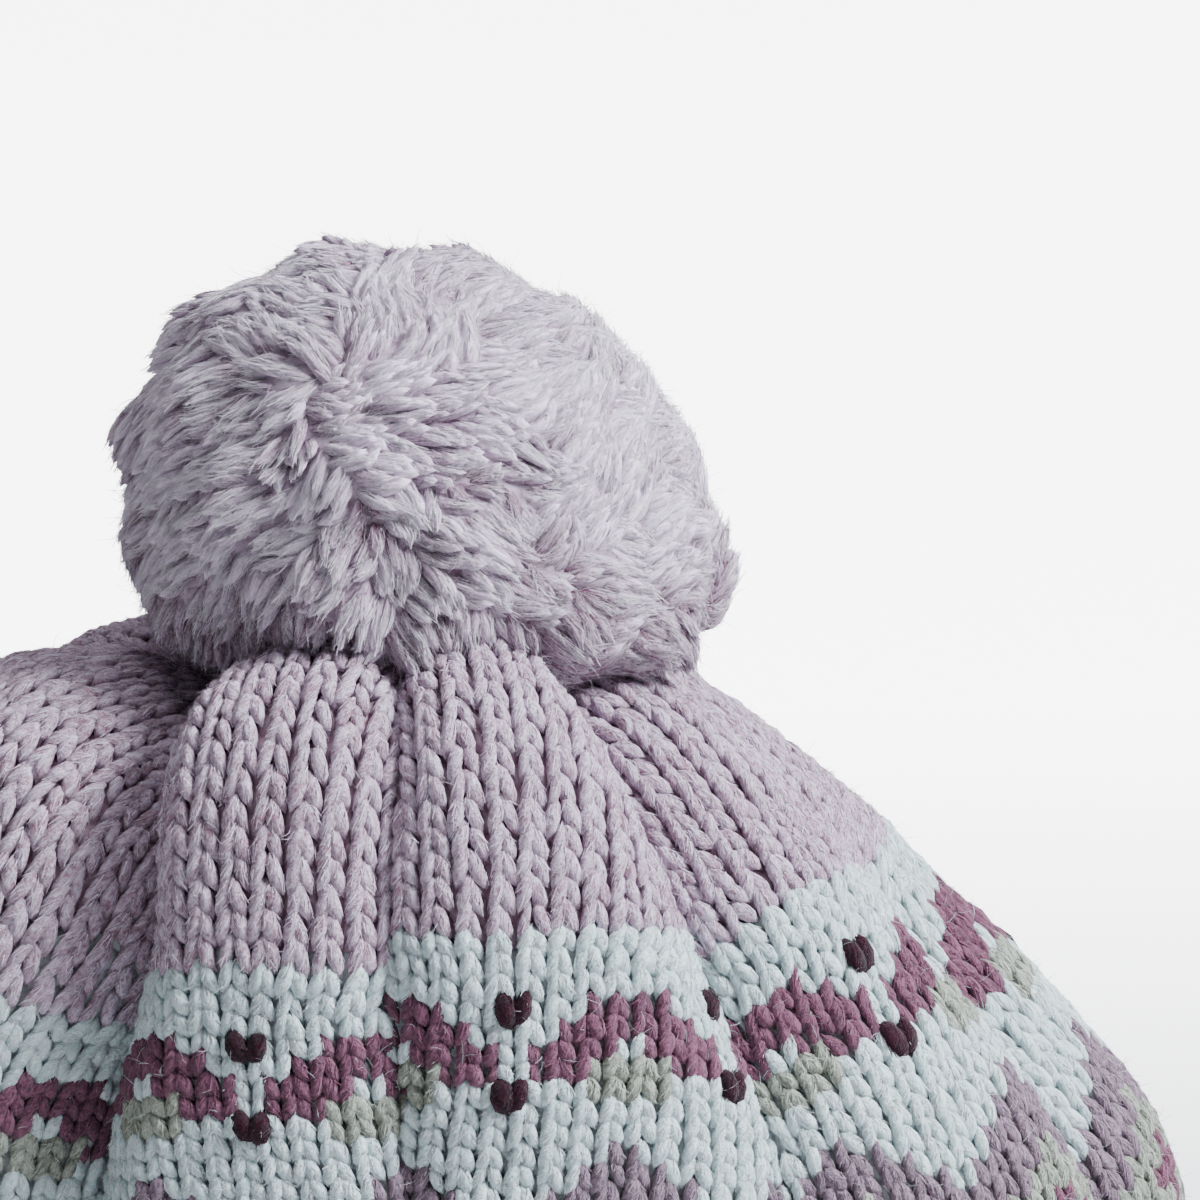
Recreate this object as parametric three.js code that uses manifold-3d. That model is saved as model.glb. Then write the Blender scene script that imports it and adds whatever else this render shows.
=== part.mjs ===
// Knitted beanie: a lobed crown gathered under a pompom, a patterned body and a ribbed brim.
// Millimetres, +Z up. The brim edge rests on z = 0, the front faces -Y, and x = 0 is the gather.
import * as THREE from 'three';
import { mergeVertices } from 'three/addons/utils/BufferGeometryUtils.js';
import Module from 'manifold-3d';

// Heights of the three knitted zones, from the lobe tops down
const CROWN_RISE = 35;
const BODY_HEIGHT = 90;
const RIB_HEIGHT = 45;

// Half extents of the body in plan
const HALF_WIDTH = 112;
const HALF_DEPTH = 62;

// Fabric
const CROWN_WALL = 3.0;
const BODY_WALL = 3.4;
const RIB_WALL = 3.6;
const FOLD_DEPTH = 13;
const FOLD_SPREAD = 16;
const LOBE_PUFF = 8;

// Ribbing: two knit and two purl columns to each rib
const RIB_COUNT = 34;
const RIB_RELIEF = 1.8;
const RIB_START_ANGLE = -82.5;

// Pompom
const POMPOM_RADIUS = 39.4;
const POMPOM_RISE = 42;
const POMPOM_DROP = 17;
const POMPOM_LIFT = 2;
const POMPOM_OFFSET = 3;
const POMPOM_SETBACK = 8;
const POMPOM_LEAN = 0.14;
const POMPOM_FULLNESS = 2.05;
const LOCK_LENGTH = 16;
const LOCK_RADIUS = 8;
const LOCK_SINK = 9;
const LOCK_COUNT = 64;
const LOCK_SIDES = 5;
const LOWEST_LOCK = -0.45;

// Yarn tie that holds the pompom through the gather
const TIE_RADIUS = 2.0;
const TIE_IN_POMPOM = 14;
const KNOT_RADIUS = 6;
const KNOT_HEIGHT = 6;

// Clearances between pieces
const SEAM_GAP = 0.3;
const SEAT_GAP = 0.3;
const TIE_GAP = 0.3;

// Mesh density
const LANE_CELLS = 10;
const CROWN_CELLS = 10;
const BODY_CELLS = 7;
const RIB_CELLS = 2;
const TIE_SIDES = 16;
const ARC_SAMPLES = 8;

// Derived heights
const SHELL_HEIGHT = CROWN_RISE + BODY_HEIGHT + RIB_HEIGHT;
const POMPOM_CENTRE = SHELL_HEIGHT + POMPOM_LIFT;
const TIE_TOP = POMPOM_CENTRE - POMPOM_DROP + TIE_IN_POMPOM;

const CROWN = 0;
const BODY = 1;
const RIB = 2;

/** A section: zone, place in the zone, reaches and falls to the right, left, front and back. */
function row(zone, at, reach, fall) {
  const [right, left, front, back] = reach;
  return { zone, at, right, left, front, back, fall };
}

/** A fold: name, angles and depths at the stations, its two spreads, and the next lobe's swell. */
function fold(name, angles, depths, before, after, puff) {
  return { name, angles, depths, before, after, puff };
}

// One row for each section of the wall, from the gather to the brim edge.
// zone and at place it along the wall. right and left are shares of HALF_WIDTH, front and back
// shares of HALF_DEPTH, and the falls are shares of the zone's own height.
const SECTIONS = [
  row(CROWN, 0.00, [0.026, 0.026, 0.050, 0.050], [0.40, 0.40, 0.40, 0.40]),
  row(CROWN, 0.12, [0.095, 0.095, 0.170, 0.170], [0.21, 0.32, 0.22, 0.32]),
  row(CROWN, 0.24, [0.175, 0.180, 0.300, 0.300], [0.12, 0.35, 0.05, 0.28]),
  row(CROWN, 0.38, [0.260, 0.280, 0.450, 0.440], [0.20, 0.34, 0.00, 0.30]),
  row(CROWN, 0.54, [0.355, 0.390, 0.600, 0.580], [0.39, 0.33, 0.10, 0.38]),
  row(CROWN, 0.70, [0.440, 0.490, 0.720, 0.700], [0.59, 0.39, 0.32, 0.54]),
  row(CROWN, 0.85, [0.515, 0.580, 0.800, 0.790], [0.80, 0.60, 0.64, 0.75]),
  row(CROWN, 1.00, [0.588, 0.660, 0.860, 0.865], [1.00, 1.00, 1.00, 1.00]),
  row(BODY, 0.10, [0.662, 0.740, 0.885, 0.895], [0.10, 0.10, 0.115, 0.11]),
  row(BODY, 0.22, [0.762, 0.830, 0.912, 0.922], [0.215, 0.22, 0.235, 0.23]),
  row(BODY, 0.36, [0.864, 0.905, 0.940, 0.948], [0.36, 0.36, 0.37, 0.37]),
  row(BODY, 0.50, [0.940, 0.955, 0.965, 0.970], [0.50, 0.50, 0.50, 0.50]),
  row(BODY, 0.75, [0.992, 0.992, 0.993, 0.995], [0.75, 0.75, 0.75, 0.75]),
  row(BODY, 1.00, [1.000, 1.000, 1.000, 1.000], [1.00, 1.00, 1.00, 1.00]),
  row(RIB, 0.50, [0.975, 0.975, 0.985, 0.985], [0.50, 0.50, 0.50, 0.50]),
  row(RIB, 1.00, [0.950, 0.950, 0.970, 0.970], [1.00, 1.00, 1.00, 1.00]),
];

// One row for each fold, anticlockwise from the front left, in degrees round the plan.
// depths are shares of FOLD_DEPTH, before and after are shares of FOLD_SPREAD on the two sides
// of the fold, and puff is how far the lobe that follows it swells, a share of LOBE_PUFF.
const FOLDS = [
  fold('left_fold', [-147, -136, -119, -113, -108, -104], [0.7, 1.0, 0.95, 0.8, 0.0, 0.0], 1.5, 0.6, 0.25),
  fold('front_seam', [-90, -90, -91, -88, -87, -87], [0.4, 0.30, 0.16, 0.1, 0.0, 0.0], 0.5, 0.5, 0.35),
  fold('front_fold', [-35, -46, -51, -60, -64, -65], [0.6, 0.75, 0.6, 0.2, 0.0, 0.0], 0.7, 1.2, 0.25),
  fold('low_fold', [-8, -12, -15, -22, -27, -27], [0.1, 0.0, 0.25, 0.5, 0.0, 0.0], 0.7, 1.0, 0.0),
  fold('right_fold', [28, 26, 24, 22, 20, 20], [0.6, 0.8, 0.6, 0.3, 0.0, 0.0], 1.0, 0.9, 0.2),
  fold('back_right_fold', [72, 70, 68, 66, 66, 66], [0.7, 0.9, 0.8, 0.5, 0.0, 0.0], 0.8, 1.2, 0.3),
  fold('back_left_fold', [118, 116, 114, 112, 112, 112], [0.6, 0.8, 0.6, 0.3, 0.0, 0.0], 1.0, 0.8, 0.3),
  fold('left_back_fold', [165, 163, 160, 158, 158, 158], [0.7, 0.8, 0.6, 0.4, 0.0, 0.0], 1.0, 1.0, 0.6),
];

// Where the fold columns apply along the wall: gather, shoulder, colour change, belly, rib top, edge
const STATIONS = [0, 0.5, 1, 1.5, 2, 3];

// Swell of a lobe at each station
const PUFF_AT_STATION = [0.1, 0.8, 1.0, 0.5, 0.0, 0.0];

/** Uniform cubic through the values of a table column, at a place between two of its rows. */
function cubic(values, index, fraction) {
  const last = values.length - 1;
  const p0 = values[Math.max(index - 1, 0)];
  const p1 = values[index];
  const p2 = values[Math.min(index + 1, last)];
  const p3 = values[Math.min(index + 2, last)];
  const v0 = (p2 - p0) / 2;
  const v1 = (p3 - p1) / 2;
  const t = fraction;
  return (2 * p1 - 2 * p2 + v0 + v1) * t ** 3 + (3 * p2 - 3 * p1 - 2 * v0 - v1) * t ** 2 + v0 * t + p1;
}

/** Value of a column whose rows stand at the given places. */
function columnAt(places, values, place) {
  let index = 0;
  while (index < places.length - 2 && place > places[index + 1]) index += 1;
  const fraction = (place - places[index]) / (places[index + 1] - places[index]);
  return cubic(values, index, Math.min(Math.max(fraction, 0), 1));
}

const ZONE_HEIGHTS = [CROWN_RISE, BODY_HEIGHT, RIB_HEIGHT];
const ZONE_STARTS = [0, CROWN_RISE, CROWN_RISE + BODY_HEIGHT];
const PLACES = SECTIONS.map((section) => section.zone + section.at);
const RIGHTS = SECTIONS.map((section) => section.right * HALF_WIDTH);
const LEFTS = SECTIONS.map((section) => section.left * HALF_WIDTH);
const FRONTS = SECTIONS.map((section) => section.front * HALF_DEPTH);
const BACKS = SECTIONS.map((section) => section.back * HALF_DEPTH);
const FALLS = [0, 1, 2, 3].map((side) => SECTIONS.map((section) => fallOf(section, side)));

/** Height of a section below the lobe tops, on one of its four sides. */
function fallOf(section, side) {
  return ZONE_STARTS[section.zone] + section.fall[side] * ZONE_HEIGHTS[section.zone];
}

/** Point of the smooth outer form at a plan angle in radians and a place along the wall. */
function basePoint(angle, place) {
  const across = Math.cos(angle);
  const inward = Math.sin(angle);
  const x = across * columnAt(PLACES, across > 0 ? RIGHTS : LEFTS, place);
  const y = inward * columnAt(PLACES, inward > 0 ? BACKS : FRONTS, place);
  const side = columnAt(PLACES, across > 0 ? FALLS[0] : FALLS[1], place);
  const front = columnAt(PLACES, inward > 0 ? FALLS[3] : FALLS[2], place);
  const fall = side * across ** 2 + front * inward ** 2;
  return new THREE.Vector3(x, y, SHELL_HEIGHT - fall);
}

/** Outward normal of the smooth outer form. */
function baseNormal(angle, place) {
  const step = 0.01;
  const low = Math.max(place - step, 0);
  const high = Math.min(place + step, RIB + 1);
  const along = basePoint(angle, high).sub(basePoint(angle, low));
  const round = basePoint(angle + step, place).sub(basePoint(angle - step, place));
  return along.cross(round).normalize();
}

/** Plan angle of a fold at a place along the wall, with whole turns added past the last fold. */
function foldAngle(index, place) {
  const turns = Math.floor(index / FOLDS.length);
  const { angles } = FOLDS[index - turns * FOLDS.length];
  return THREE.MathUtils.degToRad(columnAt(STATIONS, angles, place) + 360 * turns);
}

/** Depth of one side of a fold at a distance from its line. */
function foldSide(depths, share, distance, place) {
  const reach = share * FOLD_SPREAD;
  const near = Math.max(1 - distance / reach, 0);
  return FOLD_DEPTH * columnAt(STATIONS, depths, place) * near ** 2;
}

/** Point of the knitted wall. lane counts folds, so whole lanes lie on the fold lines. */
function wallPoint(lane, place, inset) {
  const index = Math.floor(lane);
  const share = lane - index;
  const start = foldAngle(index, place);
  const end = foldAngle(index + 1, place);
  const angle = start + (end - start) * share;
  const point = basePoint(angle, place);
  const arc = point.distanceTo(basePoint(start, place));
  const rest = point.distanceTo(basePoint(end, place));
  const here = FOLDS[index % FOLDS.length];
  const next = FOLDS[(index + 1) % FOLDS.length];
  const hereDip = foldSide(here.depths, here.after, arc, place);
  const nextDip = foldSide(next.depths, next.before, rest, place);
  const dip = Math.max(hereDip, nextDip);
  const swell = here.puff * LOBE_PUFF * columnAt(STATIONS, PUFF_AT_STATION, place) * Math.sin(Math.PI * share);
  return point.addScaledVector(baseNormal(angle, place), swell - dip - inset);
}

/** Shares across a lane, closer together near the folds. */
function laneShare(step) {
  const even = step / LANE_CELLS;
  return even - Math.sin(2 * Math.PI * even) / (4 * Math.PI);
}

/** Closed band of wall from rows of outer and inner points, the rows running from top to bottom. */
function closedBand(outerRows, innerRows) {
  const rows = [...outerRows, ...[...innerRows].reverse()];
  const count = rows[0].length;
  const positions = rows.flat().flatMap((point) => [point.x, point.y, point.z]);
  const index = [];
  rows.forEach((points, r) => {
    const below = (r + 1) % rows.length;
    points.forEach((point, c) => {
      const beside = (c + 1) % count;
      const a = r * count + c;
      const b = r * count + beside;
      const d = below * count + c;
      const e = below * count + beside;
      index.push(a, d, b, b, d, e);
    });
  });
  const geometry = new THREE.BufferGeometry();
  geometry.setAttribute('position', new THREE.Float32BufferAttribute(positions, 3));
  geometry.setIndex(index);
  return geometry;
}

/** Lanes round the whole wall, one value for each column of the mesh. */
function allLanes() {
  const lanes = [];
  for (let lobe = 0; lobe < FOLDS.length; lobe += 1) {
    for (let step = 0; step < LANE_CELLS; step += 1) lanes.push(lobe + laneShare(step));
  }
  return lanes;
}

/** Places along a zone from its first row to its last, leaving seams at the ends that are named. */
function zonePlaces(zone, cells, topGap, bottomGap) {
  const top = zone + topGap / ZONE_HEIGHTS[zone];
  const bottom = zone + 1 - bottomGap / ZONE_HEIGHTS[zone];
  return Array.from({ length: cells + 1 }, (_, step) => top + ((bottom - top) * step) / cells);
}

/** A zone of the knitted wall as one closed band. */
function knitBand(places, wall) {
  const lanes = allLanes();
  const outer = places.map((place) => lanes.map((lane) => wallPoint(lane, place, 0)));
  const inner = places.map((place) => lanes.map((lane) => wallPoint(lane, place, wall)));
  return closedBand(outer, inner);
}

/** Plan angles at even distances round the top of the ribbing, one for each of its columns. */
function evenAngles(count) {
  const start = THREE.MathUtils.degToRad(RIB_START_ANGLE);
  const samples = count * ARC_SAMPLES;
  const angles = Array.from({ length: samples + 1 }, (_, s) => start + (2 * Math.PI * s) / samples);
  const points = angles.map((angle) => basePoint(angle, RIB));
  const run = [0];
  for (let s = 1; s <= samples; s += 1) run.push(run[s - 1] + points[s].distanceTo(points[s - 1]));
  let s = 0;
  return Array.from({ length: count }, (_, c) => {
    const wanted = (run[samples] * c) / count;
    while (run[s + 1] < wanted) s += 1;
    const share = (wanted - run[s]) / (run[s + 1] - run[s]);
    return angles[s] + (angles[s + 1] - angles[s]) * share;
  });
}

/** The ribbed brim, whose columns follow the ribs, ending in a flat face on z = 0. */
function ribBand() {
  const columns = RIB_COUNT * 4;
  const places = zonePlaces(RIB, RIB_CELLS, SEAM_GAP, 0);
  const ring = (place, inset, relief) => evenAngles(columns).map((angle, c) => {
    const raised = c % 4 < 2 ? 0 : relief;
    const point = basePoint(angle, place).addScaledVector(baseNormal(angle, place), -inset - raised);
    if (place === places[RIB_CELLS]) point.z = 0;
    return point;
  });
  const outer = places.map((place) => ring(place, 0, RIB_RELIEF));
  const inner = places.map((place) => ring(place, RIB_WALL, 0));
  return closedBand(outer, inner);
}

/** Manifold solid of a closed geometry. */
function solidOf(wasm, geometry) {
  geometry.deleteAttribute('normal');
  geometry.deleteAttribute('uv');
  const merged = mergeVertices(geometry, 1e-4);
  const vertProperties = new Float32Array(merged.attributes.position.array);
  const triVerts = new Uint32Array(merged.index.array);
  return new wasm.Manifold(new wasm.Mesh({ numProp: 3, vertProperties, triVerts }));
}

/** Geometry of a manifold solid. */
function geometryOf(solid) {
  const mesh = solid.getMesh();
  const positions = [];
  for (let v = 0; v < mesh.vertProperties.length; v += mesh.numProp) {
    positions.push(mesh.vertProperties[v], mesh.vertProperties[v + 1], mesh.vertProperties[v + 2]);
  }
  const geometry = new THREE.BufferGeometry();
  geometry.setAttribute('position', new THREE.Float32BufferAttribute(positions, 3));
  geometry.setIndex(Array.from(mesh.triVerts));
  return geometry;
}

/** Even directions over a ball, from its top to its bottom. */
function evenDirection(step, count) {
  const golden = Math.PI * (3 - Math.sqrt(5));
  const up = 1 - (2 * step + 1) / count;
  const flat = Math.sqrt(1 - up * up);
  return new THREE.Vector3(Math.cos(golden * step) * flat, Math.sin(golden * step) * flat, up);
}

/** Point of the pompom's head in a direction: a full dome on a flat underside. */
function headPoint(out) {
  const height = out.z > 0 ? POMPOM_RISE : POMPOM_DROP;
  const flat = Math.hypot(out.x, out.y);
  const power = POMPOM_FULLNESS;
  const scale = 1 / (Math.abs(flat) ** power + Math.abs(out.z) ** power) ** (1 / power);
  const point = new THREE.Vector3(out.x * POMPOM_RADIUS, out.y * POMPOM_RADIUS, out.z * height);
  point.multiplyScalar(scale);
  point.x -= POMPOM_LEAN * point.z;
  return point;
}

/** One lock of pompom yarn: a fat blunt tuft that leans along the swirl of the pompom. */
function lockGeometry(out, step) {
  const turn = 1.3 * Math.cos(1.7 * step);
  const swirl = new THREE.Vector3(-out.y, out.x, 0.8 * Math.sin(3 * step)).multiplyScalar(turn);
  const lean = out.clone().add(swirl).normalize();
  const size = 1 + 0.14 * Math.sin(2.3 * step);
  const radius = LOCK_RADIUS * size;
  const tip = (LOCK_LENGTH - LOCK_SINK) * size;
  const profile = [
    new THREE.Vector2(0, -LOCK_SINK),
    new THREE.Vector2(radius, -LOCK_SINK * 0.4),
    new THREE.Vector2(radius * 0.9, tip * 0.3),
    new THREE.Vector2(0, tip * 0.9),
  ];
  const lock = new THREE.LatheGeometry(profile, LOCK_SIDES);
  lock.applyQuaternion(new THREE.Quaternion().setFromUnitVectors(new THREE.Vector3(0, 1, 0), lean));
  const root = headPoint(out).addScaledVector(out, -LOCK_SINK * 0.3);
  lock.translate(root.x, root.y, root.z);
  return lock;
}

/** The pompom's head before it is cut: a ball of even triangles drawn out to the head's form. */
function headGeometry() {
  const head = new THREE.IcosahedronGeometry(1, 4);
  const positions = head.attributes.position;
  for (let v = 0; v < positions.count; v += 1) {
    const point = headPoint(new THREE.Vector3().fromBufferAttribute(positions, v));
    positions.setXYZ(v, point.x, point.y, point.z);
  }
  return head;
}

/** Solid below the crown's outer face and its seat gap, which the pompom is cut back to. */
function crownSeat(wasm) {
  const places = zonePlaces(CROWN, CROWN_CELLS, 0, SEAM_GAP);
  const lanes = allLanes();
  const top = places.map((place) => lanes.map((lane) => wallPoint(lane, place, -SEAT_GAP)));
  const base = new THREE.Vector3(0, 0, -CROWN_RISE);
  const bottom = top.map((points) => points.map((point) => point.clone().add(base)));
  return solidOf(wasm, closedBand(top, bottom));
}

/** Upright round bar between two heights on the axis. */
function bar(radius, low, high) {
  const geometry = new THREE.CylinderGeometry(radius, radius, high - low, TIE_SIDES);
  geometry.rotateX(Math.PI / 2);
  geometry.translate(0, 0, (low + high) / 2);
  return geometry;
}

/** The pompom: its head with the locks fused to it, cut back to sit on the crown. */
function pompomGeometry(wasm) {
  let solid = solidOf(wasm, headGeometry());
  for (let step = 0; step < LOCK_COUNT; step += 1) {
    const out = evenDirection(step, LOCK_COUNT);
    if (out.z > LOWEST_LOCK) solid = solid.add(solidOf(wasm, lockGeometry(out, step)));
  }
  solid = solid.translate([POMPOM_OFFSET, POMPOM_SETBACK, POMPOM_CENTRE]);
  const socket = bar(TIE_RADIUS + TIE_GAP, POMPOM_CENTRE - 2 * POMPOM_DROP, TIE_TOP + TIE_GAP);
  return geometryOf(solid.subtract(crownSeat(wasm)).subtract(solidOf(wasm, socket)));
}

// Lowest point of the gather's inner edge, which the knot bears on
const GATHER_UNDERSIDE = Math.min(...allLanes().map((lane) => wallPoint(lane, CROWN, CROWN_WALL).z));

/** The yarn tie: a cord up into the pompom, with a knot that bears on the inside of the gather. */
function tieGeometry() {
  const knotTop = GATHER_UNDERSIDE - SEAT_GAP;
  const profile = [
    new THREE.Vector2(0, knotTop - KNOT_HEIGHT),
    new THREE.Vector2(KNOT_RADIUS * 0.6, knotTop - KNOT_HEIGHT),
    new THREE.Vector2(KNOT_RADIUS, knotTop - KNOT_HEIGHT * 0.6),
    new THREE.Vector2(KNOT_RADIUS * 0.8, knotTop - KNOT_HEIGHT * 0.15),
    new THREE.Vector2(TIE_RADIUS, knotTop),
    new THREE.Vector2(TIE_RADIUS, TIE_TOP),
    new THREE.Vector2(0, TIE_TOP),
  ];
  const tie = new THREE.LatheGeometry(profile, TIE_SIDES);
  tie.rotateX(Math.PI / 2);
  return tie;
}

/** Mesh with a plain standard material. */
function part(name, geometry, color, roughness) {
  geometry.computeVertexNormals();
  const mesh = new THREE.Mesh(geometry, new THREE.MeshStandardMaterial({ color, roughness, metalness: 0 }));
  mesh.name = name;
  return mesh;
}

const wasm = await Module();
wasm.setup();

const beanie = new THREE.Group();
beanie.add(part('knit_crown', knitBand(zonePlaces(CROWN, CROWN_CELLS, 0, SEAM_GAP), CROWN_WALL), 0xc9b3be, 0.95));
beanie.add(part('colourwork_body', knitBand(zonePlaces(BODY, BODY_CELLS, SEAM_GAP, SEAM_GAP), BODY_WALL), 0xd9e2dd, 0.95));
beanie.add(part('rib_brim', ribBand(), 0xc9b3be, 0.95));

beanie.add(part('pompom', pompomGeometry(wasm), 0xd2c6cf, 1.0));
beanie.add(part('pompom_tie', tieGeometry(), 0xbfaab6, 0.95));

export default beanie;
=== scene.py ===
"""Looks of a knitted pompom beanie, in metres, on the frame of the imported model.

The wall of the hat is laid out as knitting: eight panels between the folds, each a grid of
columns and rows on the same lobed form as the CAD solids. Every stitch is two legs of yarn.
The pompom is a soft core under several thousand tufts of fleece.
"""
from __future__ import annotations

import logging
import math
from collections.abc import Callable, Mapping, Sequence
from dataclasses import dataclass, field
from enum import Enum, IntEnum

import bmesh
import bpy
import numpy as np
from mathutils import Matrix, Vector
from mathutils.bvhtree import BVHTree

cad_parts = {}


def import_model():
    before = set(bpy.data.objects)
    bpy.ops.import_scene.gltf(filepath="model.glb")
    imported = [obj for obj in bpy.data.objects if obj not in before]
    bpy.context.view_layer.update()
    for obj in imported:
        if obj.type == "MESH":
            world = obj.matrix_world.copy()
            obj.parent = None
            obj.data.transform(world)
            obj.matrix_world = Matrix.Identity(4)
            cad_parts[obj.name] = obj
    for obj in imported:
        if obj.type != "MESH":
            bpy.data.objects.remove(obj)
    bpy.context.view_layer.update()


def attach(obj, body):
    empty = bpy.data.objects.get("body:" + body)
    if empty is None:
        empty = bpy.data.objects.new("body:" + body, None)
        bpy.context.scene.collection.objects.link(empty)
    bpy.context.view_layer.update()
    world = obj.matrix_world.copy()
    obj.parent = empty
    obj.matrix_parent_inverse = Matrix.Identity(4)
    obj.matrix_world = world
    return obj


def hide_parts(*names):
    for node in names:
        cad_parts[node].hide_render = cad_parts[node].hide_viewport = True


LOG = logging.getLogger("beanie")
Array = np.ndarray
Colour = tuple[float, float, float, float]
FIBRE_TAPER = np.array([[1.0, 0.4]])
STRAND_UV = "strand"
SHADE = "shade"


def srgb(red: int, green: int, blue: int) -> Colour:
    """Linear colour of an 8-bit screen colour."""
    def linear(value: int) -> float:
        """One channel, made linear."""
        share = value / 255
        return share / 12.92 if share <= 0.04045 else ((share + 0.055) / 1.055) ** 2.4
    return linear(red), linear(green), linear(blue), 1.0


def scaled(colour: Colour, share: float) -> Colour:
    """A lighter or darker form of a colour."""
    red, green, blue = (min(part * share, 1.0) for part in colour[:3])
    return red, green, blue, 1.0


def unit(vectors: Array) -> Array:
    """Vectors at length one, along the last axis."""
    return vectors / np.maximum(np.linalg.norm(vectors, axis=-1, keepdims=True), 1e-12)


def smooth_step(low: float, high: float, value: Array) -> Array:
    """Soft step from 0 at low to 1 at high."""
    share = np.clip((value - low) / (high - low), 0.0, 1.0)
    return share * share * (3.0 - 2.0 * share)


# --- form of the hat


class Zone(IntEnum):
    """Knitted zones from the lobe tops down. A place is a zone plus a share of it."""

    CROWN = 0
    BODY = 1
    RIB = 2


@dataclass(frozen=True)
class Section:
    """One ring of the wall: reaches and falls are given right, left, front and back."""

    zone: Zone
    at: float
    reach: tuple[float, float, float, float]
    fall: tuple[float, float, float, float]


@dataclass(frozen=True)
class Fold:
    """A fold: its angles and depths at the stations, its two spreads, and the next lobe's swell."""

    name: str
    angles: tuple[float, ...]
    depths: tuple[float, ...]
    before: float
    after: float
    puff: float


SECTIONS = (
    Section(Zone.CROWN, 0.00, (0.026, 0.026, 0.050, 0.050), (0.40, 0.40, 0.40, 0.40)),
    Section(Zone.CROWN, 0.12, (0.095, 0.095, 0.170, 0.170), (0.21, 0.32, 0.22, 0.32)),
    Section(Zone.CROWN, 0.24, (0.175, 0.180, 0.300, 0.300), (0.12, 0.35, 0.05, 0.28)),
    Section(Zone.CROWN, 0.38, (0.260, 0.280, 0.450, 0.440), (0.20, 0.34, 0.00, 0.30)),
    Section(Zone.CROWN, 0.54, (0.355, 0.390, 0.600, 0.580), (0.39, 0.33, 0.10, 0.38)),
    Section(Zone.CROWN, 0.70, (0.440, 0.490, 0.720, 0.700), (0.59, 0.39, 0.32, 0.54)),
    Section(Zone.CROWN, 0.85, (0.515, 0.580, 0.800, 0.790), (0.80, 0.60, 0.64, 0.75)),
    Section(Zone.CROWN, 1.00, (0.588, 0.660, 0.860, 0.865), (1.00, 1.00, 1.00, 1.00)),
    Section(Zone.BODY, 0.10, (0.662, 0.740, 0.885, 0.895), (0.10, 0.10, 0.115, 0.11)),
    Section(Zone.BODY, 0.22, (0.762, 0.830, 0.912, 0.922), (0.215, 0.22, 0.235, 0.23)),
    Section(Zone.BODY, 0.36, (0.864, 0.905, 0.940, 0.948), (0.36, 0.36, 0.37, 0.37)),
    Section(Zone.BODY, 0.50, (0.940, 0.955, 0.965, 0.970), (0.50, 0.50, 0.50, 0.50)),
    Section(Zone.BODY, 0.75, (0.992, 0.992, 0.993, 0.995), (0.75, 0.75, 0.75, 0.75)),
    Section(Zone.BODY, 1.00, (1.000, 1.000, 1.000, 1.000), (1.00, 1.00, 1.00, 1.00)),
    Section(Zone.RIB, 0.50, (0.975, 0.975, 0.985, 0.985), (0.50, 0.50, 0.50, 0.50)),
    Section(Zone.RIB, 1.00, (0.950, 0.950, 0.970, 0.970), (1.00, 1.00, 1.00, 1.00)),
)

FOLDS = (
    Fold("left_fold", (-147, -136, -119, -113, -108, -104), (0.7, 1.0, 0.95, 0.8, 0, 0),
         1.5, 0.6, 0.25),
    Fold("front_seam", (-90, -90, -91, -88, -87, -87), (0.4, 0.30, 0.16, 0.1, 0, 0),
         0.5, 0.5, 0.35),
    Fold("front_fold", (-35, -46, -51, -60, -64, -65), (0.6, 0.75, 0.6, 0.2, 0, 0),
         0.7, 1.2, 0.25),
    Fold("low_fold", (-8, -12, -15, -22, -27, -27), (0.1, 0.0, 0.25, 0.5, 0, 0),
         0.7, 1.0, 0.0),
    Fold("right_fold", (28, 26, 24, 22, 20, 20), (0.6, 0.8, 0.6, 0.3, 0, 0),
         1.0, 0.9, 0.2),
    Fold("back_right_fold", (72, 70, 68, 66, 66, 66), (0.7, 0.9, 0.8, 0.5, 0, 0),
         0.8, 1.2, 0.3),
    Fold("back_left_fold", (118, 116, 114, 112, 112, 112), (0.6, 0.8, 0.6, 0.3, 0, 0),
         1.0, 0.8, 0.3),
    Fold("left_back_fold", (165, 163, 160, 158, 158, 158), (0.7, 0.8, 0.6, 0.4, 0, 0),
         1.0, 1.0, 0.6),
)

STATIONS = np.array([0.0, 0.5, 1.0, 1.5, 2.0, 3.0])
PUFF_AT_STATION = np.array([0.1, 0.8, 1.0, 0.5, 0.0, 0.0])


def column_at(places: Array, values: Array, place: Array) -> Array:
    """Smooth value of a table column at some places.

    Args:
        places: Places of the table's rows, rising.
        values: The column's values.
        place: Places to read it at.

    Returns:
        A value for each place.
    """
    last = len(places) - 1
    index = np.clip(np.searchsorted(places, place, side="left") - 1, 0, last - 1)
    t = np.clip((place - places[index]) / (places[index + 1] - places[index]), 0.0, 1.0)
    before, start = values[np.maximum(index - 1, 0)], values[index]
    end, after = values[index + 1], values[np.minimum(index + 2, last)]
    leave, arrive = (end - before) / 2, (after - start) / 2
    return ((2 * start - 2 * end + leave + arrive) * t**3
            + (3 * end - 3 * start - 2 * leave - arrive) * t**2 + leave * t + start)


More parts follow.
